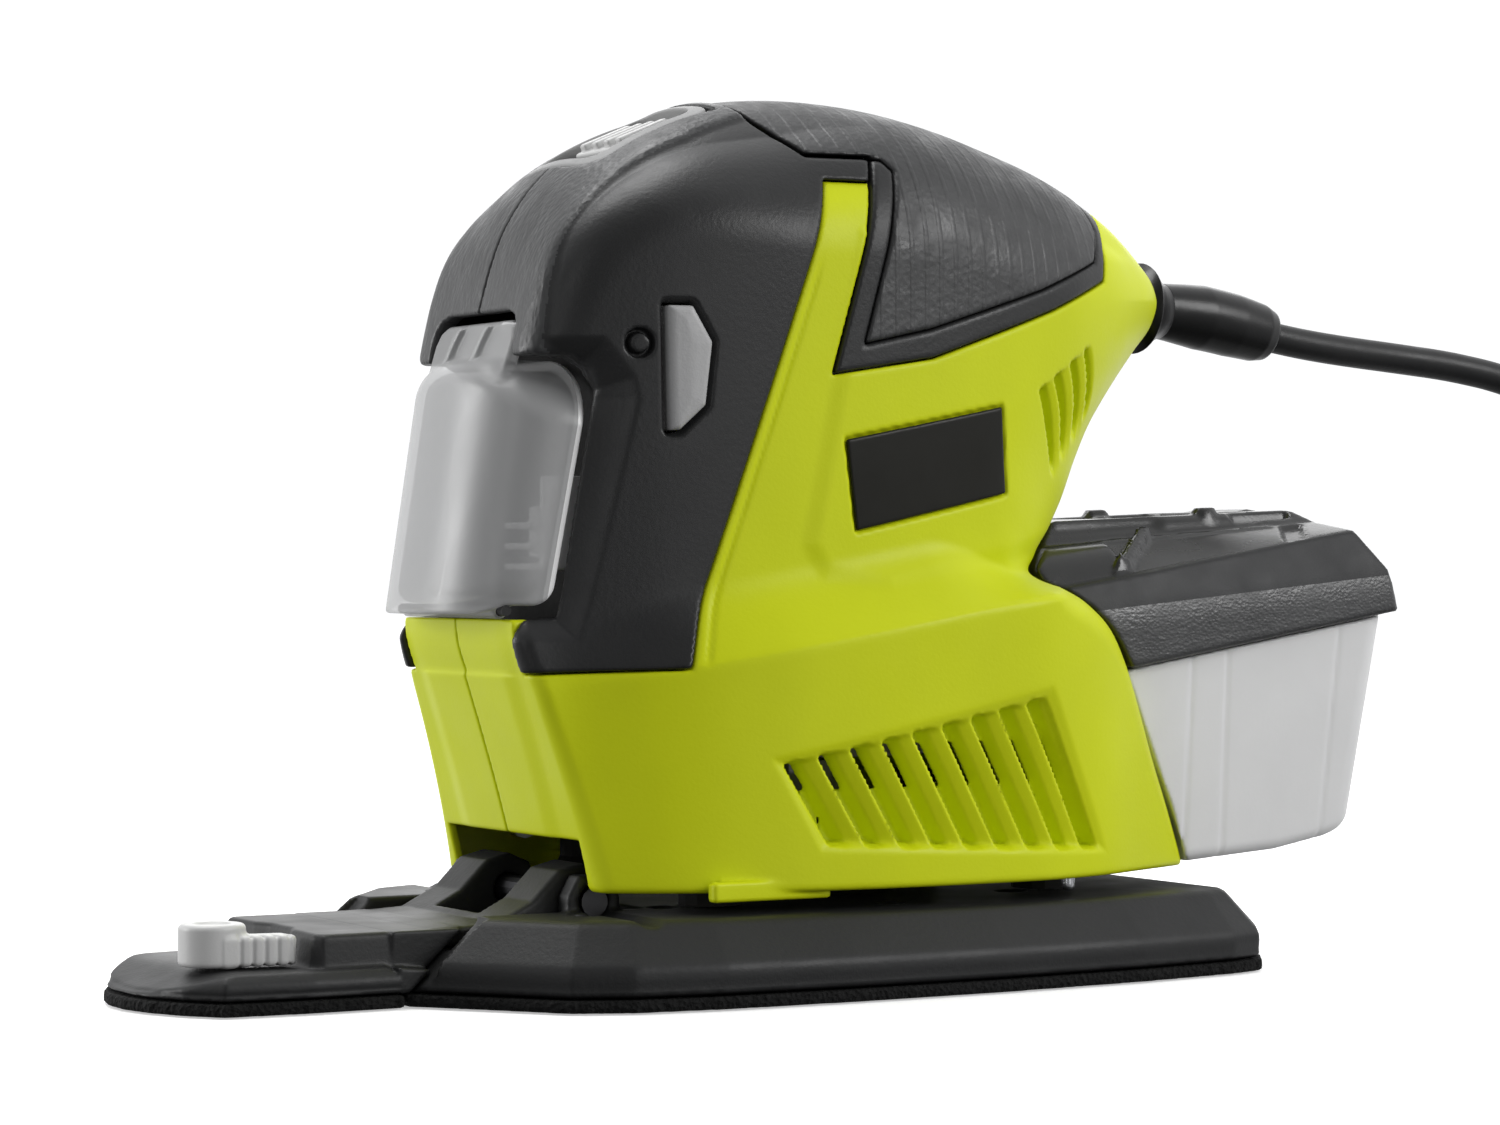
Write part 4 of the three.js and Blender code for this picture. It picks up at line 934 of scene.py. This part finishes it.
def dust_box_parts():
    g = Grid((39, -36, 14), (126, 36, 88), H * 1.2)
    x, y, z = g.x, g.y, g.z
    ay = np.abs(y)
    f = body_field(g)
    lidXZ = [(41, 53), (62, 54.4), (121.6, 64.2), (119.6, 72.2), (113.7, 79.5), (107.5, 86), (41, 86)]
    zc = 79.4 + (x - 113.7) * 0.16  # the crest along each side
    zl = 78.5 + (x - 80) * 0.08  # lip of the raised middle
    zp = 82.1 + (x - 82) * 0.045  # top of the raised middle
    zb = 64.2 + (x - 52.8) * 0.096  # foot of the side's bevel
    t1 = np.clip((30.4 - ay) / 8.4, 0, 1)
    t2 = np.clip((21.6 - ay) / 2.8, 0, 1)
    h = zc + (zl - zc) * t1 + (zp - zl) * t2
    h = h + 1.9 * np.sin(math.pi * t1) * step((62 - x) / 1.5)
    h = h + 0.45 * np.exp(-(((ay - 22.0) / 0.45) ** 2)) * step((x - 60) / 2) * step((101 - x) / 2)
    rib = x - (59.8 + (30.4 - ay) * 1.3)
    h = h + 1.9 * step((2.1 - np.abs(rib)) / 0.7) * step(t1 / 0.12) * step((ay - 21.0) / 1.2)
    h = h - 1.1 * np.exp(-(((ay - 20.7) / 0.4) ** 2)) * step((100 - x) / 2)
    h = h - 2.4 * step((0.75 - np.abs(ay - 19.2)) / 0.4) * step((x - 92) / 1.5) * step((106.5 - x) / 1)
    h = h - 1.6 * np.exp(-(((ay - 19.5) / 0.4) ** 2)) * step((78 - x) / 4)
    h = h - 1.3 * step((0.5 - rmax(np.abs(x - 84) - 17, ay - 16.5, 3.0)) / 0.9)
    h = h + 1.2 * step((3.0 - np.hypot(x - 87.7, ay - 17.2)) / 1.0)
    h = h - 0.9 * step((2.6 - np.abs(x - 99.5 - (30.4 - ay) * 0.6)) / 0.6) * step((t1 - 0.1) / 0.1) * step((ay - 22.2) / 0.5)
    rear_top = (z - (83.1 + (x - 107.5) * -0.58)) * 0.86
    q = rmax(poly(lidXZ, x, z), ay - 33.5, 1.0)
    q = rmax(q, (ay - 33.5) * 0.94 + (z - zb) * 0.34, 1.2)
    q = rmax(q, rmax((z - h) * 0.84, rear_top, 0.6), 0.35)
    holl = poly([(66, 40), (66, 60.5), (62.5, 66), (108, 73.4), (115.6, 69.4), (116.6, 40)], x, z)
    q = rmax(q, -np.maximum(holl, ay - 31.3), 0.4)
    axis = np.hypot(y, -(x - 50) * math.sin(TILT) + (z - 58.4) * math.cos(TILT))
    q = rmax(q, -np.maximum(axis - 7.1, x - 76), 0.3)
    q = rmax(q, -(f - 0.6), 0.5)
    lid = surface(q, g)
    # bin: drafted sides, rounded corners, bottom raked up to the rear
    rear = (x - (114.2 + (z - 20) * 0.165)) * 0.9866
    front = ((71 - (z - 20) * 0.43) - x) * 0.9187
    side = ay - (28.6 + (z - 18) * 0.055)
    bot = poly([(40, 10), (70, 18.0), (97, 20.0), (108, 22), (130, 28.4), (160, 30), (160, 120), (40, 120)], x, z)
    ribs = -0.3 * (np.exp(-((x - 75.4 - (z - 40) * 0.02) / 0.45) ** 2) + np.exp(-((x - 83.6) / 0.45) ** 2) + np.exp(-((x - 107.6 - (z - 40) * 0.08) / 0.45) ** 2))
    ext = rmax(rmax(rear, side - ribs, 5.5), front, 1.2)
    ext = rmax(ext, bot, 2.4)
    inn = rmax(rmax(rear + 1.8, side + 1.8, 4), front + 1.8, 2.5)
    inn = rmax(inn, bot + 1.8, 1.5)
    inn = rmax(inn, -(f - 2.2), 0.5)
    b = rmax(ext, -inn, 0.4)
    lidg = poly(lidXZ, x, z) - 0.3
    b = np.maximum(b, -lidg)
    b = np.maximum(b, (z - (50.4 + (x - 40) * 0.164)))
    b = np.maximum(b, -(f - 0.35))
    b = np.maximum(b, -np.maximum(axis - 7.1, x - 76))
    return lid, surface(b, g)


def tray_parts():
    g = Grid((-57, -24, 59.5), (-39.5, 24, 116), H)
    x, y, z = g.x, g.y, g.z
    ay = np.abs(y)
    back = rmax(np.maximum(np.abs(x + 41.5) - 0.9, ay - 22.4), np.abs(z - 87.2) - 26.8, 0.3)
    sill = rmax(np.maximum(np.abs(x + 48.2) - 7.3, ay - 20.6), np.abs(z - 62.0) - 0.8, 0.3)
    rack = rmax(np.maximum(np.abs(x + 46.5) - 5.4, np.abs(y + 19.4) - 0.8), np.abs(z - 80) - 8, 0.3)
    for zz in (72.55, 76.05, 79.55):
        rack = np.minimum(rack, rmax(np.maximum(np.abs(x + 47.5) - 6.4, np.abs(y + 14.1) - 5.1), np.abs(z - zz) - 0.6, 0.3))
    rack = np.minimum(rack, rmax(np.maximum(np.abs(x + 47) - 5.6, np.abs(y + 17.6) - 1.6), np.abs(z - 78.5) - 4.4, 0.4))
    rack = np.minimum(rack, np.maximum(rmax(np.abs(x + 47) - 4.0, np.abs(y + 18.6) - 0.6, 0.3), np.maximum(z - 87.5, 78 - z)))
    return surface(np.minimum(back, sill), g), surface(rack, g)


def small_on_lid():
    g = Grid((98, -11, 79), (108.5, 11, 87), H * 0.5)
    p = poly([(101.4, 81.0), (106.6, 81.0), (107.0, 83.2), (104.6, 83.5), (101.4, 82.9)], g.x, g.z)
    q = rmax(p, np.abs(g.y) - 9, 0.5)
    return surface(q, g)


PLATEN_XY = [(-78.5, -22.6), (-67.5, -36), (-60, -45.6), (-50, -50.2), (-34, -52.7), (-10, -53.8), (20, -53.8), (50, -52), (72, -49), (79.4, -46.6), (85.4, -38)]
NOSE_XY = [(-78.9, -24), (-95, -24.2), (-110.5, -22.8), (-115.6, -16.5), (-119, -9.5), (-120.6, -3.2)]
RISER_XY = [(-78.9, -20.8), (-92.5, -20.8), (-94, -18.5), (-93.5, -8), (-92, -4)]


def mirrored(p):
    return p + [(x, -y) for x, y in p[::-1]]


DUST = [(-30, 22), (-30, -22), (40, 24), (40, -24), (8, 34), (8, -34), (60, 0), (-48, 28), (-48, -28)]


def drilled(q, g):
    for cx, cy in DUST:
        q = rmax(q, -(np.hypot(g.x - cx, g.y - cy) - 2.6), 0.3)
    return q


def platen_parts():
    g = Grid((-81, -56, -1.5), (88, 56, 27), H * 1.3)
    x, y, z = g.x, g.y, g.z
    ay = np.abs(y)
    p = poly(mirrored(PLATEN_XY), x, y)
    side = p + 0.6
    bevel = (p + 0.75 + (z - 7.2) * 0.889) * 0.747
    q = rmax(side, bevel, 0.6)
    q = rmax(q, np.abs(z - 8.45) - 5.95, 0.9)
    # shadow line low on the side
    q = q + 0.5 * step(1 - np.abs(z - 4.2) / 0.45) * step((p + 3) / 1)
    seat = np.maximum(np.hypot(x - 9, y) - 16, np.abs(z - 19.7) - 5.7)
    q = rmin(q, seat, 1.5)
    arm = np.maximum(np.maximum(8.9 - z, ay - 21.6), x + 33.5)
    q = rmax(q, -arm, 0.5)
    bore = np.hypot(x - 9, y)
    q = rmax(q, -np.maximum(bore - 11.3, 14.5 - z), 0.2)
    q = rmax(q, -np.maximum(bore - 8.2, 11.5 - z), 0.2)
    lug = np.maximum(poly([(-49, 8), (-39, 8), (-39, 17), (-41, 20.5), (-47, 20.5), (-49, 17)], x, z), np.abs(ay - 21.8) - 2)
    q = rmin(q, lug, 0.6)
    q = rmax(q, -(np.hypot(x + 44, z - 16) - 2.8), 0.2)
    end = np.maximum(poly([(-95, -5), (-77.4, -5), (-77.4, 2.4), (-65.2, 13.5), (-65.2, 30), (-95, 30)], x, z), ay - 26)
    q = rmax(q, -end, 0.3)
    plate = surface(drilled(q, g), g)
    rough = 0.28 * np.sin(x * 2.9 + 1.3 * np.sin(y * 2.1)) * np.sin(y * 3.3 + np.sin(x * 1.7)) * np.ones_like(z)
    k = rmax(p + 0.1 + rough * 0.6, np.abs(z - 1.12) - 1.05, 0.35)
    k = np.maximum(k, -78.3 - x)
    pad = surface(drilled(k, g), g)
    return plate, pad


def nose_parts():
    g = Grid((-123, -26.5, -1.5), (-36, 26.5, 24.5), H)
    x, y, z = g.x, g.y, g.z
    ay = np.abs(y)
    p = poly(mirrored(NOSE_XY), x, y)
    q = rmax(p + 0.6, np.abs(z - 4.65) - 2.15, 0.5)
    q = rmax(q, ((z - 6.8) + (-108.5 - x) * 0.36 - 0.2) * 0.94, 0.8)
    q = rmax(q, (p + 1.1 + (z - 5.6) * 0.9) * 0.743, 0.4)
    q = q + 0.3 * step(1 - np.abs(z - 3.4) / 0.4) * step((p + 3) / 1)
    pr = poly(mirrored(RISER_XY), x, y)
    face = rmax(pr + (z - 5) * 0.12, np.abs(z - 8.7) - 3.7, 0.9)
    q = rmin(q, face, 0.7)
    wedge = np.maximum(poly([(-80, 2.5), (-77.9, 2.5), (-67, 12.4), (-80, 12.4)], x, z), ay - 20.6)
    low = np.maximum(poly([(-80, 2.5), (-77.9, 2.5), (-74, 6), (-80, 6.7)], x, z), ay - 23.2)
    q = np.minimum(q, rmin(wedge, low, 0.3))
    armp = [(-72, 9.4), (-66, 9.3), (-44, 9.6), (-40, 11.4), (-37.6, 16), (-40, 20.6), (-44, 22.3), (-48.5, 21.2), (-53.5, 16.2), (-60, 12.9), (-72, 12.2)]
    arm = rmax(poly(armp, x, z), ay - 19.4, 0.8)
    q = rmin(q, arm, 0.6)
    q = rmax(q, -np.maximum(np.maximum(np.abs(x + 44) - 14, ay - 8.5), np.abs(z - 17) - 12), 0.4)
    q = rmax(q, -(np.hypot(x + 44, z - 16) - 2.8), 0.2)
    nose = surface(q, g)
    rough = 0.2 * np.sin(x * 2.7 + np.sin(y * 2.3)) * np.sin(y * 3.1) * np.ones_like(z)
    k = rmax(p + 0.1 + rough * 0.6, np.abs(z - 1.12) - 1.05, 0.4)
    return nose, surface(k, g)


def nose_latch_part():
    g = Grid((-114, -18, 6), (-93, -3, 16), H * 0.5)
    x, y, z = g.x, g.y, g.z
    hub = rmax(np.hypot(x + 107.3, y + 9.5) - 5.55, np.abs(z - 10.7) - 3.5, 0.9)
    tailp = poly([(-107.3, -15.1), (-96, -16.4), (-94.6, -15.2), (-95.2, -10.6), (-107.3, -8)], x, y)
    tail = rmax(tailp + 0.1, np.abs(z - 9.75) - 2.5, 0.8)
    for i in range(5):
        cx = -104.6 + i * 2.1
        tail = tail + 0.45 * step(1 - np.abs(x - cx) / 0.6) * step((-12.8 - y) / 1.2)
    q = rmin(hub, tail, 0.8)
    dome = np.hypot(x + 107.3, y + 9.5) - 3.2
    q = q + 0.4 * step(-dome / 0.6) * step((z - 12.5) / 1)
    pr = poly(mirrored(RISER_XY), x, y) - 0.35
    q = rmax(q, -pr, 0.2)
    return surface(q, g)


def plug_part():
    g = Grid((165, -139, -1), (206, -109, 17.5), H)
    x, y, z = g.x, g.y, g.z
    v = y + 124
    flat = rmax(np.abs(v) - 12.9 + 0.10 * np.maximum(x - 182, 0), np.abs(z - 8) - 7.95 + 0.08 * np.maximum(x - 184, 0), 4.0)
    q = rmax(flat, np.abs(x - 184.8) - 16.8, 2.5)
    waist = 0.9 * np.exp(-((x - 187) / 5) ** 2)
    q = q + waist
    for i in range(5):
        q = q + 0.35 * step(1 - np.abs(x - (178.5 + 3.2 * i)) / 0.7)
    hole = np.hypot(v, z - 8) - 3.4
    q = rmax(q, -np.maximum(hole, 198 - x), 0.4)
    for s in (-9.5, 9.5):
        q = rmax(q, -np.maximum(np.hypot(v - s, z - 8) - 2.05, x - 169.0), 0.2)
    return surface(q, g)


# ------------------------------------------------------------------ pieces on the frame
def on_band(p):
    x, y, z = p.T
    w = 23.2 - 3.4 * np.clip((z - 113) / 36, 0, 1.3) - 2.5 * np.clip((x + 25) / 14, 0, 1)
    return (np.abs(y) < w) & (z > 104)


# rear edge band of the clear cover, which takes the painted highlight
RIM_X = -52.7


def on_rim(p):
    x, y, z = p.T
    return x > RIM_X + (z - 66) * 0.196


# lid's side bevel, which takes the darker smooth copy: partly painted shade
def on_bevel(p):
    x, y, z = p.T
    return (np.abs(y) > 30.1) & (z > 64.6 + (x - 52.8) * 0.096)


housing_m, cover_m = shells()
for side, mir in (("left", False), ("right", True)):
    put("shell_" + side, housing_m, LIME, "housing", ["%s_housing" % side], mir)
    put("front_cover_piece_" + side, cover_m, BLACK, "housing", ["front_cover_" + side], mir, BAND, on_band)
frame_m, soft_m = grip_parts()
put("grip_frame", frame_m, GRIPF, "housing", ["grip_overmould"])
put("grip_insert", soft_m, SOFT, "housing", ["grip_overmould"])
badge_m = badge_part()
button_m = button_part()
for side, mir in (("left", False), ("right", True)):
    put("badge_plate_" + side, badge_m, BADGE_MAT, "housing", ["badge_" + side], mir)
    put("side_button_" + side, button_m, GREY, "release_" + side, ["release_button_" + side], mir)
# the rear edge band is partly real, the wall seen edge-on being more opaque, and partly a painted highlight line in
# near-white
put("clear_cover", sliced(storage_cover_part(), lambda p: p[:, 0] - RIM_X - (p[:, 2] - 66) * 0.196), FROST, "storage_cover", ["storage_cover"], second=FROST_HIGHLIGHT, where=on_rim)
tray_m, rack_m = tray_parts()
put("tray_back", tray_m, DARK, "housing", ["storage_tray"])
# the rack takes the lightened frosted white so its shelves read as lit inside the shaded cover: painted light
put("tray_rack", rack_m, FROST_HIGHLIGHT, "housing", ["storage_tray"])
slider_m, surround_m = switch_parts()
put("slide_button", slider_m, PALE, "switch_slider", ["on_off_switch"])
# the surround takes the darkened grey: painted shade
put("slide_surround", surround_m, GREY_SHADE, "housing", ["switch_surround"])
lid_m, bin_m = dust_box_parts()
lid_m = sliced(sliced(lid_m, lambda p: p[:, 2] - 64.6 - (p[:, 0] - 52.8) * 0.096), lambda p: np.abs(p[:, 1]) - 30.1)
box_lid = put("box_lid", lid_m, LIDM, "dust_box", ["dust_box_lid"], second=LID_SMOOTH_SHADE, where=on_bevel)
box_lid.data.materials.append(LIDG)
lid_mid = lid_m[0][lid_m[1]].mean(1)
box_lid.data.polygons.foreach_set("material_index", np.where((np.abs(lid_mid[:, 1]) < 30.1) & (lid_mid[:, 2] > 67), 2, on_bevel(lid_mid)).astype(np.int32))
put("box_bin", bin_m, BIN, "dust_box", ["dust_box_bin"])
put("box_latch", small_on_lid(), LIDM, "dust_box", ["dust_box_latch"])
plate_m, pad_m = platen_parts()
put("platen_plate", plate_m, PLATEN, "platen", ["main_platen"])
put("platen_hooks", pad_m, PAD, "platen", ["main_pad"])
nose_m, npad_m = nose_parts()
put("nose_plate", nose_m, PLATEN, "nose", ["nose_platen"])
put("nose_hooks", npad_m, PAD, "nose", ["nose_pad"])
put("nose_lever", nose_latch_part(), PALE, "nose_latch", ["nose_latch"])
plug = put("plug", plug_part(), PLUGM, "housing", ["plug_body"])


# ------------------------------------------------------------------ gland, boot, pins
def lathe(name, centres, radii, material, body, nodes, n=40, squash_z=1.0):
    """Round skin about a bending line in the middle plane, closed at both ends."""
    c = np.array(centres, float)
    d = np.gradient(c, axis=0)
    d /= np.linalg.norm(d, axis=1, keepdims=True)
    side = np.array([0, 1.0, 0])
    if abs(d[0] @ side) > 0.9 or np.linalg.norm(np.cross(d[0], side)) < 0.1:
        side = np.array([1.0, 0, 0])
    rings = []
    for p, t, r in zip(c, d, radii):
        up = np.cross(t, side)
        up /= np.linalg.norm(up)
        a = np.linspace(0, 2 * math.pi, n, endpoint=False)
        rings.append(p + r * (np.cos(a)[:, None] * side + squash_z * np.sin(a)[:, None] * up))
    pts, q = tube(rings)
    me = bpy.data.meshes.new(name)
    faces = q.tolist()
    m = len(rings)
    faces.append(list(range(n))[::-1])
    faces.append(list(range((m - 1) * n, m * n)))
    pts = (pts + [DX, 0, 0]) * MM
    me.from_pydata(pts.tolist(), [], faces)
    import bmesh

    bm = bmesh.new()
    bm.from_mesh(me)
    bmesh.ops.recalc_face_normals(bm, faces=bm.faces)
    bm.to_mesh(me)
    bm.free()
    me.polygons.foreach_set("use_smooth", np.ones(len(me.polygons), bool))
    me.materials.append(material)
    o = bpy.data.objects.new(name, me)
    bpy.context.collection.objects.link(o)
    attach(o, body)
    if nodes:
        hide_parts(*nodes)
    return o


def profile(rows, n):
    """Evenly spaced stations (distance, radius) along a given profile, with its steps kept."""
    r = np.array(rows, float)
    s = np.linspace(r[0, 0], r[-1, 0], n)
    return s, np.interp(s, r[:, 0], r[:, 1])


boot_line = cat([[89.7, 0, 121.4], [95, 0, 120.9], [101, 0, 120.2], [107, 0, 119.2], [112, 0, 118.2], [116.5, 0, 117.2]], 12)
bt = np.linspace(0, 1, len(boot_line))
boot_r = np.interp(bt, [0, 0.02, 0.12, 0.35, 0.6, 0.85, 0.95, 1.0], [5.25, 5.3, 5.55, 6.2, 6.15, 5.7, 5.0, 3.6])
boot = lathe("lead_boot", boot_line, boot_r, BOOTM, "housing", ["cord_boot"])
gs = np.linspace(0, 1, 30)
gl = np.array([[80 + 10.2 * t, 0, 122.0 - 0.72 * t] for t in gs])
gr = np.interp(gs, [0, 0.46, 0.475, 0.52, 0.62, 0.74, 0.86, 0.96, 1.0], [5.5, 5.6, 8.7, 8.5, 7.5, 6.5, 5.75, 5.35, 5.3])
gland = lathe("lead_gland", gl, gr, BOOTM, "housing", ["cord_gland"])
lathe("base_lug", [[41.6, -40.0, q] for q in (15.6, 15.8, 16.4, 17.0, 18.2, 19.4)], [0.5, 1.0, 1.15, 1.15, 1.15, 1.15], STEEL, "housing", [], 20)
for k, yy in (("a", -133.5), ("b", -114.5)):
    xs = np.array([148.7, 148.9, 149.4, 150.2, 152, 156, 157.2, 157.4, 160, 164, 167.7])
    rr = np.array([0.4, 1.1, 1.6, 1.95, 2, 2, 2, 1.95, 1.95, 1.95, 1.95])
    lathe("plug_prong_" + k, [[q, yy, 8.0] for q in xs], rr, STEEL, "housing", ["plug_pin_" + k], 28)

# ------------------------------------------------------------------ CAD nodes that stay in view or inside
for node, m in {
    # the cover's hinge pin is black instead of steel so it sinks into the shade under the cover: painted shade
    "storage_cover_pin": DARK,  "switch_link": PALE, "switch_module": DARK, "cover_screw_left": STEEL, "cover_screw_right": STEEL,
    "motor_shaft": STEEL, "armature": LAM, "commutator": COPPER, "stator": LAM, "upper_bearing": STEEL, "upper_bearing_seat": DARK, "lower_bearing": STEEL,
    "bearing_bridge": GREY, "fan": GREY, "eccentric": STEEL, "brush_holder_left": COPPER, "brush_holder_right": COPPER, "suppression_capacitor": FILM,
    "terminal_block": PALE, "platen_bearing": STEEL, "platen_post_1": DARK, "platen_post_2": DARK, "platen_post_3": DARK, "platen_post_4": DARK,
    "nose_pivot_pin": DARKSTEEL, "detent_spring": STEEL, "dust_filter": PAPER, "dust_outlet": DARK, "body_screw_1": STEEL, "body_screw_2": STEEL, "body_screw_3": STEEL,
}.items():
    use(node, m)
